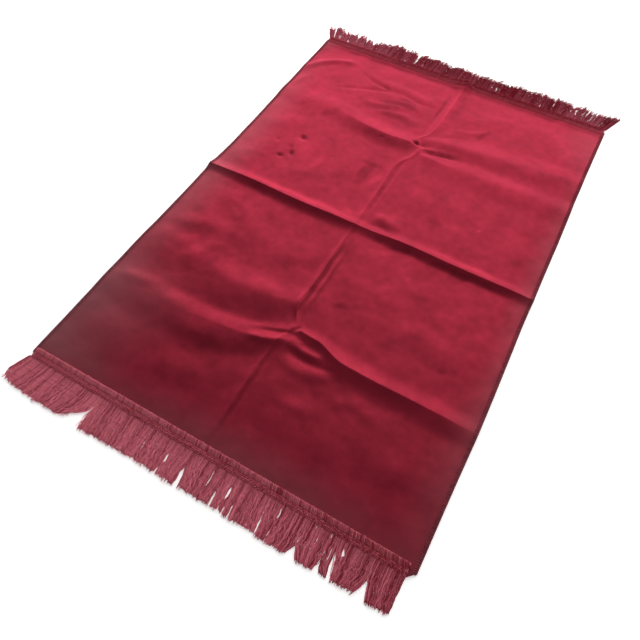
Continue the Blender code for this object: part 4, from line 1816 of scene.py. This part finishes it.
    def across(
        self, yarns: Yarns, lean: np.ndarray, bend: np.ndarray, out: np.ndarray, share: np.ndarray,
        rng: np.random.Generator,
    ) -> tuple[np.ndarray, np.ndarray]:
        """Lay the yarns sideways: gathered in their tufts, leaning and curling.

        Args:
            yarns: The yarns.
            lean: How far each yarn's tip is to the side of its root.
            bend: How long each yarn keeps its lean for its tip.
            out: Every ring's distance out from the heading.
            share: The same distance as a share of the yarn's length.
            rng: The source of chance.

        Returns:
            Every ring's place across the rug, and how far its curl has turned.
        """
        gathered = self.gather * rng.uniform(*self.gather_range, yarns.tuft_count)[yarns.tuft] * yarns.loose
        to_middle = (yarns.tuft_middle - yarns.root)[:, None]
        x = yarns.root[:, None] + to_middle * gathered[:, None] * smooth(share)
        x += lean[:, None] * share ** bend[:, None]
        wave = rng.uniform(*self.curl_length, yarns.wisp_count)[yarns.wisp]
        phase = rng.uniform(0.0, TURN, yarns.wisp_count)[yarns.wisp]
        phase = phase + rng.normal(0.0, self.uneven_phase, self.count)
        sway = self.curl * rng.uniform(*self.sway_range, yarns.wisp_count)[yarns.wisp]
        sway = sway * np.where(yarns.ground, self.ground_sway, 1.0)
        turn = TURN * out / wave[:, None] + phase[:, None]
        return x + sway[:, None] * smooth(share * self.curl_growth) * np.sin(turn), turn

    def radii(self, yarns: Yarns, share: np.ndarray, rng: np.random.Generator) -> np.ndarray:
        """Work out how thick the yarns are: a little uneven, and drawn in at their tips.

        Args:
            yarns: The yarns.
            share: Every ring's distance out as a share of the yarn's length.
            rng: The source of chance.

        Returns:
            Every ring's radius.
        """
        radius = self.thickness / 2 * rng.uniform(*self.radius_range, self.count)[:, None]
        radius = radius * (1.0 - self.taper * share)
        radius = np.where(yarns.ground[:, None], self.ground_thickness / 2, radius)
        radius[:, -1] *= self.tip_taper
        return radius

    def heights(
        self, yarns: Yarns, radius: np.ndarray, out: np.ndarray, share: np.ndarray, turn: np.ndarray,
        rng: np.random.Generator,
    ) -> np.ndarray:
        """Let the yarns down from the heading to the floor and onto each other, layer by layer.

        Args:
            yarns: The yarns.
            radius: Every ring's radius.
            out: Every ring's distance out from the heading.
            share: The same distance as a share of the yarn's length.
            turn: How far every ring's curl has turned.
            rng: The source of chance.

        Returns:
            Every ring's height.
        """
        layer = yarns.level * self.layer_step
        rest = radius + self.clearance + layer[:, None] * (1.0 - self.layer_sink * share)
        rest += self.lift * (rng.uniform(0.0, 1.0, yarns.tuft_count)[yarns.tuft] * yarns.loose)[:, None]
        lifted = self.lift * (rng.uniform(0.0, 1.0, self.count) * yarns.loose)[:, None]
        rest += lifted * smooth(share * self.lift_growth) * (1.0 + np.cos(turn))
        rooted = self.root_height + (layer[:, None] - self.layer_step) * self.root_layer_share
        return rest + (rooted - rest) * (1.0 - smooth(np.maximum(out, 0.0) / self.drop))

    def tones(self, yarns: Yarns, rng: np.random.Generator) -> np.ndarray:
        """Vary the end's shades from tuft to tuft, wisp to wisp and yarn to yarn.

        Args:
            yarns: The yarns.
            rng: The source of chance.

        Returns:
            Each yarn's tone.
        """
        tones = self.middle_tone + self.tuft_tone * rng.normal(size=yarns.tuft_count)[yarns.tuft]
        tones += self.yarn_tone * rng.normal(size=self.count) + along(self.shades, yarns.root, "tone")
        of_wisp = self.wisp_tone * rng.normal(size=yarns.wisp_count)[yarns.wisp]
        # Ground yarns are painted darker: painted shade under the loose layers, seen in the gaps between
        # tufts
        tones += np.where(yarns.ground, -self.ground_dark, of_wisp)
        return np.clip(tones, 0, 1)

    def build(self) -> bpy.types.Object:
        """Lay the yarns on the floor.

        Returns:
            All the end's yarns as one joined piece.
        """
        rng = np.random.default_rng(self.seed)
        yarns = self.yarns(rng)
        lock = self.lock_values(yarns.root)
        stays = (rng.random(self.count) < self.stray) & ~yarns.ground
        lean = self.leans(yarns, lock["lean"], stays, rng)
        length = self.lengths(yarns, lock["length"], rng)
        out = self.reaches(length)
        share = np.clip(out / length[:, None], 0.0, 1.0)
        x, turn = self.across(yarns, lean, lock["bend"], out, share, rng)
        x = self.parted(x, out, stays)
        radius = self.radii(yarns, share, rng)
        z = self.heights(yarns, radius, out, share, turn, rng)
        tones = self.tones(yarns, rng)
        paths = np.stack([x, self.end.value * (self.heading_edge + out), z], axis=2) * MM
        name = self.node.replace("fringe", "fringe_yarns")
        bundle = YarnBundle(name, self.count, self.rings, self.sides)
        piece = bundle.lay(paths, radius * MM, tones, self.finish.material(), self.twist)
        return fit(piece, self.node)


@dataclass
class TrimHeading:
    """The heading that holds a fringe: a corded roll and two rows of chain stitch. Millimetres."""

    node: str
    end: End
    left: float
    right: float
    yarn: SpunYarn
    stitch: SpunYarn
    shades: tuple[Shade, ...]
    surface: RugSurface
    seed: int
    outer_edge: float = 526.0
    base: float = 2.8
    width: float = 21.0
    roll_width: float = 11.5
    roll_height: float = 1.4
    roll_flatness: float = 0.6
    roll_margin: float = 1.0
    least_round: float = 0.15
    rib_pitch: float = 2.6
    rib_thickness: float = 2.35
    rib_slant: float = 3.5
    rib_start: float = 4.0
    rib_sink: float = 0.4
    rib_rings: int = 9
    rib_jitter: float = 0.25
    rib_uneven: float = 0.05
    rib_stray: float = 0.55
    rib_lumps: float = 0.10
    rib_tones: tuple[float, float] = (0.55, 0.24)
    band_height: float = 0.9
    band_rounding: float = 0.4
    band_rounding_steps: int = 3
    band_tone: float = 0.85
    core_inset: float = 0.35
    link_pitch: float = 3.0
    link_length: float = 3.9
    link_width: float = 1.7
    link_narrow: float = 0.45
    link_thickness: float = 0.95
    link_low: float = 0.7
    link_climb: float = 1.1
    link_rings: int = 9
    link_margin: float = 1.0
    link_jitter: float = 0.1
    link_tones: tuple[float, float] = (0.5, 0.2)
    chain_rows: tuple[float, float] = (8.2, 2.6)
    knot_row: float = 5.4
    knot_pitch: float = 5.0
    knot_margin: float = 2.0
    knot_thickness: float = 2.6
    knot_slant: float = 0.34
    knot_turn: float = 0.7
    knot_sink: float = 0.1
    knot_arch: float = 0.8
    knot_taper: float = 0.45
    knot_taper_power: int = 4
    knot_jitter: float = 0.2
    knot_stray: float = 0.15
    knot_tones: tuple[float, float] = (0.6, 0.2)

    def name(self, part: str) -> str:
        """Return the name of one of the heading's pieces."""
        return self.node.replace("fringe", "heading_" + part)

    def rise(self, x: np.ndarray) -> np.ndarray:
        """Return how far the cloth's folds lift the heading at places across the rug."""
        inner = np.full(x.shape, self.end.value * (self.outer_edge - self.width) * MM)
        return self.surface.edge_height(x * MM, inner) / MM

    def tones(
        self, middle_and_spread: tuple[float, float], place: np.ndarray, rng: np.random.Generator
    ) -> np.ndarray:
        """Give each yarn a tone by chance, on top of the end's shades.

        Args:
            middle_and_spread: The usual tone and how much it varies.
            place: Where each yarn is, across the rug.
            rng: The source of chance.

        Returns:
            Each yarn's tone.
        """
        middle, spread = middle_and_spread
        own = middle + spread * rng.normal(size=len(place))
        return np.clip(own + along(self.shades, place, "tone"), 0, 1)

    def roll(self) -> bpy.types.Object:
        """Wrap the corded roll: yarns laid side by side over its half-round top.

        Returns:
            The roll's yarns as one joined piece.
        """
        rng = np.random.default_rng(self.seed)
        margin = self.roll_margin
        count = int((self.right - self.left - 2 * margin) / self.rib_pitch)
        start = np.linspace(self.left + margin, self.right - margin, count)
        start = start + rng.normal(0.0, self.rib_jitter, count)
        radius = self.rib_thickness / 2
        first, last = math.radians(self.rib_start), math.radians(180.0 - self.rib_start)
        angle = np.linspace(first, last, self.rib_rings)[None, :]
        x = start[:, None] + self.rib_slant * (angle / math.pi - 0.5)
        middle = self.outer_edge - self.width + self.roll_width / 2
        wobble = 1.0 + rng.normal(0.0, self.rib_uneven, count)[:, None]
        y = middle - np.cos(angle) * (self.roll_width / 2 - radius) * wobble
        y += rng.normal(0.0, self.rib_stray, count)[:, None]
        bulge = np.sin(angle) ** self.roll_flatness
        sunk = radius * self.rib_sink
        z = self.base + sunk + bulge * (self.roll_height - sunk) * wobble
        from_end = np.minimum(start - self.left, self.right - start) / (self.roll_width / 2)
        held = np.clip(from_end, self.least_round, 1.0)
        rounded = np.sqrt(held * (2.0 - held))[:, None]
        y = middle + (y - middle) * rounded
        z = self.base + (z - self.base) * rounded
        tones = self.tones(self.rib_tones, start, rng)
        bundle = YarnBundle(self.name("roll"), count, self.rib_rings)
        paths = np.stack([x, self.end.value * y, z + self.rise(x)], axis=2) * MM
        radii = radius * MM * (1.0 + rng.normal(0.0, self.rib_lumps, (count, self.rib_rings)))
        return fit(bundle.lay(paths, radii, tones, self.yarn.material()), self.node)

    def band(self) -> bpy.types.Object:
        """Make the woven tape: a low bar under the roll and the chain stitches.

        Returns:
            The band.
        """
        bm = bmesh.new()
        bmesh.ops.create_cube(bm, size=1.0)
        across = self.right - self.left - 2 * self.core_inset
        deep = self.width - 2 * self.core_inset
        bmesh.ops.scale(bm, vec=(across * MM, deep * MM, self.band_height * MM), verts=bm.verts[:])
        middle = ((self.left + self.right) / 2, self.end.value * (self.outer_edge - self.width / 2),
                  self.base + self.band_height / 2)
        bmesh.ops.translate(bm, vec=Vector(middle) * MM, verts=bm.verts[:])
        bmesh.ops.bevel(
            bm, geom=bm.edges[:], offset=self.band_rounding * MM, segments=self.band_rounding_steps,
            profile=0.5, affect="EDGES", material=-1,
        )
        for face in bm.faces:
            face.smooth = True
        mesh = bpy.data.meshes.new(self.name("band"))
        bm.to_mesh(mesh)
        bm.free()
        tone = mesh.attributes.new("tone", "FLOAT", "POINT")
        tone.data.foreach_set("value", np.full(len(mesh.vertices), self.band_tone, np.float32))
        return fit(mesh_object(self.name("band"), mesh, self.yarn.material()), self.node)

    def knots(self) -> bpy.types.Object:
        """Lay the slanted knots of yarn that stand up between the two rows of chain stitch.

        Returns:
            The knots as one joined piece.
        """
        rng = np.random.default_rng(self.seed + 2)
        margin = self.knot_margin
        count = int((self.right - self.left - 2 * margin) / self.knot_pitch)
        place = np.linspace(self.left + margin, self.right - margin, count)
        place = place + rng.normal(0.0, self.knot_jitter, count)
        turn = np.linspace(-1.0, 1.0, self.link_rings)[None, :]
        radius = self.knot_thickness / 2
        x = place[:, None] + self.knot_slant * self.knot_pitch * turn
        y = self.outer_edge - self.knot_row + self.knot_turn * turn
        y = y + rng.normal(0.0, self.knot_stray, count)[:, None]
        arch = radius * self.knot_arch * np.cos(0.5 * math.pi * turn)
        z = self.base + self.band_height - self.knot_sink + arch + self.rise(x)
        drawn_in = 1.0 - self.knot_taper * turn**self.knot_taper_power
        radii = radius * MM * drawn_in * np.ones((count, 1))
        tones = self.tones(self.knot_tones, place, rng)
        bundle = YarnBundle(self.name("knots"), count, self.link_rings)
        paths = np.stack([x, self.end.value * y, z], axis=2) * MM
        return fit(bundle.lay(paths, radii, tones, self.yarn.material()), self.node)

    def chains(self) -> bpy.types.Object:
        """Sew the two rows of chain stitch along the band: drop-shaped loops, each in the next.

        Returns:
            The loops as one joined piece.
        """
        rng = np.random.default_rng(self.seed + 1)
        room = self.right - self.left - self.link_length - 2 * self.link_margin
        a_row = int(room / self.link_pitch)
        count = a_row * len(self.chain_rows)
        place = np.tile(np.arange(a_row), len(self.chain_rows)) * self.link_pitch
        place = place + self.left + self.link_margin
        inward = np.repeat(np.array(self.chain_rows), a_row)
        angle = np.linspace(0.0, TURN, self.link_rings)[None, :]
        ahead = (1.0 - np.cos(angle)) / 2
        x = place[:, None] + self.link_length * ahead + rng.normal(0.0, self.link_jitter, count)[:, None]
        widening = self.link_narrow + (1.0 - self.link_narrow) * ahead
        y = (self.outer_edge - inward)[:, None] + self.link_width / 2 * np.sin(angle) * widening
        radius = self.link_thickness / 2
        z = self.base + self.band_height + radius * (self.link_low + self.link_climb * ahead)
        tones = self.tones(self.link_tones, place, rng)
        bundle = YarnBundle(self.name("chain_stitch"), count, self.link_rings)
        paths = np.stack([x, self.end.value * y, z + self.rise(x)], axis=2) * MM
        radii = np.full((count, self.link_rings), radius * MM)
        return fit(bundle.lay(paths, radii, tones, self.stitch.material()), self.node)

    def build(self) -> list[bpy.types.Object]:
        """Make the heading's pieces."""
        return [self.band(), self.roll(), self.knots(), self.chains()]


@dataclass
class Overlock:
    """The thread bead worked over one long side. Millimetres."""

    node: str
    side: Side
    surface: RugSurface
    thread: SpunYarn
    seed: int
    pitch: float = 3.0
    rings: int = 9
    thickness: float = 0.8
    inside: float = 5.5
    outside: float = 2.0
    slant: float = 1.5
    wraps_short: float = 4.0
    wrap_jitter: float = 0.15
    wrap_tones: tuple[float, float] = (0.5, 0.22)
    swing_start: float = 0.35
    flat_share: float = 0.45
    under_gap: float = 0.1
    overhang: float = 0.6
    puff: float = 0.35
    puff_share: float = 0.4
    lift_inset: float = 1.0
    bead_offset: float = 0.6
    bead_radius: float = 1.0
    bead_gap: float = 0.15
    bead_short: float = 3.0
    bead_rings: int = 420
    bead_sides: int = 8
    bead_tone: float = 0.25

    def edge(self, y: np.ndarray) -> tuple[np.ndarray, np.ndarray]:
        """Find the cloth's edge.

        Args:
            y: Places along the rug.

        Returns:
            How far out from the rug's middle the edge is, and how high it lies.
        """
        edge = self.side.value * self.surface.side(y * MM, self.side) / MM
        inset = self.side.value * (edge - self.lift_inset)
        return edge, self.surface.edge_height(inset * MM, y * MM) / MM

    def wraps(self) -> bpy.types.Object:
        """Wrap the stitches over the edge, from the top of the cloth round to its underside.

        Returns:
            The stitches as one joined piece.
        """
        rng = np.random.default_rng(self.seed)
        half = self.surface.length / 2 / MM - self.wraps_short
        count = int(2 * half / self.pitch)
        place = np.linspace(-half, half, count) + rng.normal(0.0, self.wrap_jitter, count)
        turn = np.linspace(0.0, 1.0, self.rings)[None, :]
        y = place[:, None] + self.slant * (turn - 0.5)
        edge, lift = self.edge(y)
        radius = self.thickness / 2
        swing = math.pi * smooth((turn - self.swing_start) / (1.0 - self.swing_start))
        flat = smooth(turn / self.flat_share)
        top = self.surface.thickness / MM + radius
        middle = (top + radius + self.under_gap) / 2
        out = -self.inside + (self.inside + self.overhang) * flat
        out = out + (self.outside - radius - self.overhang) * np.sin(swing)
        z = middle + (top - middle) * np.cos(swing)
        z = z + self.puff * np.sin(np.pi * np.clip(turn / self.puff_share, 0, 1))
        usual, spread = self.wrap_tones
        tones = np.clip(usual + spread * rng.normal(size=count), 0, 1)
        bundle = YarnBundle(self.node + "_wraps", count, self.rings)
        paths = np.stack([self.side.value * (edge + out), y, z + lift], axis=2) * MM
        radii = np.full((count, self.rings), radius * MM)
        return fit(bundle.lay(paths, radii, tones, self.thread.material()), self.node)

    def bead(self) -> bpy.types.Object:
        """Run the bead of thread that the stitches hold, along the cloth's edge.

        Returns:
            The bead.
        """
        half = self.surface.length / 2 / MM - self.bead_short
        y = np.linspace(-half, half, self.bead_rings)
        edge, lift = self.edge(y)
        x = self.side.value * (edge + self.bead_offset)
        bundle = YarnBundle(self.node + "_bead", 1, self.bead_rings, self.bead_sides)
        paths = np.stack([x, y, self.bead_radius + self.bead_gap + lift], axis=1)[None] * MM
        radii = np.full((1, self.bead_rings), self.bead_radius * MM)
        tones = np.array([self.bead_tone])
        return fit(bundle.lay(paths, radii, tones, self.thread.material()), self.node)

    def build(self) -> list[bpy.types.Object]:
        """Make the edging's pieces."""
        return [self.bead(), self.wraps()]


# ---------------------------------------------------------------- studio


@dataclass
class Studio:
    """The plain pale floor, the soft light and the camera at the photograph's angle."""

    floor_half: float = 6.0
    floor_drop: float = 0.3 * MM
    aim: tuple[float, float, float] = (0.0363, -0.2215, 0.0)
    azimuth: float = 28.106
    elevation: float = 58.683
    distance: float = 0.978
    roll: float = 1.282
    lens_mm: float = 31.235
    sensor_mm: float = 36.0
    air_colour: str = "#f4f6fa"
    air_strength: float = 0.03

    def floor(self) -> bpy.types.Object:
        """Lay the backdrop board just under the rug.

        Returns:
            The board.
        """
        bm = bmesh.new()
        bmesh.ops.create_grid(bm, x_segments=1, y_segments=1, size=self.floor_half)
        bmesh.ops.translate(bm, verts=bm.verts[:], vec=(0.0, 0.0, -self.floor_drop))
        mesh = bpy.data.meshes.new("studio_floor")
        bm.to_mesh(mesh)
        bm.free()
        board = mesh_object("studio_floor", mesh, StudioSweep().material())
        return board

    def hang(self, light: SoftLight) -> None:
        """Hang a soft light that faces the rug's middle.

        Args:
            light: The light.
        """
        data = bpy.data.lights.new(light.name, "AREA")
        data.shape = "RECTANGLE"
        data.size, data.size_y = light.size
        data.energy = light.watts
        hung = bpy.data.objects.new(light.name, data)
        hung.location = light.place
        hung.rotation_euler = Vector(light.place).to_track_quat("Z", "Y").to_euler()
        bpy.context.scene.collection.objects.link(hung)

    def camera(self) -> None:
        """Set up the camera that sees the rug as the photograph does."""
        turn, rise = math.radians(self.azimuth), math.radians(self.elevation)
        back = Vector((math.sin(turn) * math.cos(rise), -math.cos(turn) * math.cos(rise), math.sin(rise)))
        data = bpy.data.cameras.new("photo_camera")
        data.lens = self.lens_mm
        data.sensor_width = self.sensor_mm
        camera = bpy.data.objects.new("photo_camera", data)
        level = back.to_track_quat("Z", "Y").to_matrix().to_4x4()
        camera.matrix_world = (
            Matrix.Translation(Vector(self.aim) + back * self.distance)
            @ level
            @ Matrix.Rotation(math.radians(self.roll), 4, "Z")
        )
        bpy.context.scene.collection.objects.link(camera)
        bpy.context.scene.camera = camera

    def build(self) -> None:
        """Set out the floor, the lights, the surroundings and the camera."""
        self.floor()
        self.camera()
        for light in LIGHTS:
            self.hang(light)
        world = bpy.data.worlds.new("studio_air")
        world.use_nodes = True
        air = world.node_tree.nodes["Background"]
        air.inputs["Color"].default_value = linear(self.air_colour)
        air.inputs["Strength"].default_value = self.air_strength
        bpy.context.scene.world = world
        bpy.context.scene.view_settings.view_transform = "Standard"


def main() -> None:
    """Build the rug's pieces in order and report each one."""
    logging.basicConfig(level=logging.INFO, format="%(name)s: %(message)s")
    Studio().build()
    cloth_low, cloth_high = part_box("rug_body")
    surface = RugSurface(width=CLOTH_WIDTH, length=cloth_high.y - cloth_low.y)
    cloth = RugCloth(surface).build(VelvetPile().material(), KnitBack().material())
    LOG.info("%s: %d faces", cloth.name, len(cloth.data.polygons))
    near_yarn = SpunYarn()
    near_cord = SpunYarn("heading_yarn_spun", "#790d1d", "#ae5561")
    # Copies for the far end, darker and without gloss or sheen: painted shade, as the camera sees that end's
    # yarns from their unlit side
    far_cord = SpunYarn("heading_yarn_spun_shaded", "#761520", "#a84552", gloss=0.0, sheen=0.0)
    far_yarn = SpunYarn("fringe_yarn_spun_shaded", "#5f0a14", "#9c4c5a", gloss=0.0, sheen=0.0)
    stitch = SpunYarn("chain_stitch_thread", "#890d1d", "#c05265")
    thread = SpunYarn("overlock_thread_spun", "#58202c", "#9a4c58")
    near = BrushFringe(
        "fringe_near", End.NEAR, TRIMS_LEFT, NEAR_TRIM_RIGHT, NEAR_LOCKS, NEAR_SLITS, NEAR_SHADES,
        near_yarn, seed=11,
    )
    far = BrushFringe(
        "fringe_far", End.FAR, TRIMS_LEFT, FAR_FRINGE_RIGHT, FAR_LOCKS, FAR_SLITS, FAR_SHADES,
        far_yarn, seed=12, count=1820, rings=17, tuft=8.0, gather=0.18, curl=1.3,
        curl_length=(12.0, 22.0), lift=0.8, uneven_tips=1.8, uneven_tufts=1.4, uneven_wisps=3.0,
        stray=0.17, layer_step=1.0, drop=14.0, ground_short=4.4, ground_dark=0.10, wisp_lean=2.6,
        wisp_tone=0.20,
    )
    trims = [near.build(), far.build()]
    trims += TrimHeading(
        "fringe_near", End.NEAR, TRIMS_LEFT, NEAR_TRIM_RIGHT, near_cord, stitch, NEAR_SHADES, surface,
        seed=21,
    ).build()
    trims += TrimHeading(
        "fringe_far", End.FAR, TRIMS_LEFT, FAR_HEADING_RIGHT, far_cord, far_cord, FAR_SHADES, surface,
        seed=22, roll_height=0.6, rib_thickness=1.1,
    ).build()
    trims += Overlock("edging_left", Side.LEFT, surface, thread, seed=31).build()
    trims += Overlock("edging_right", Side.RIGHT, surface, thread, seed=32).build()
    for piece in trims:
        LOG.info("%s: %d faces", piece.name, len(piece.data.polygons))


if __name__ == "__main__":
    main()
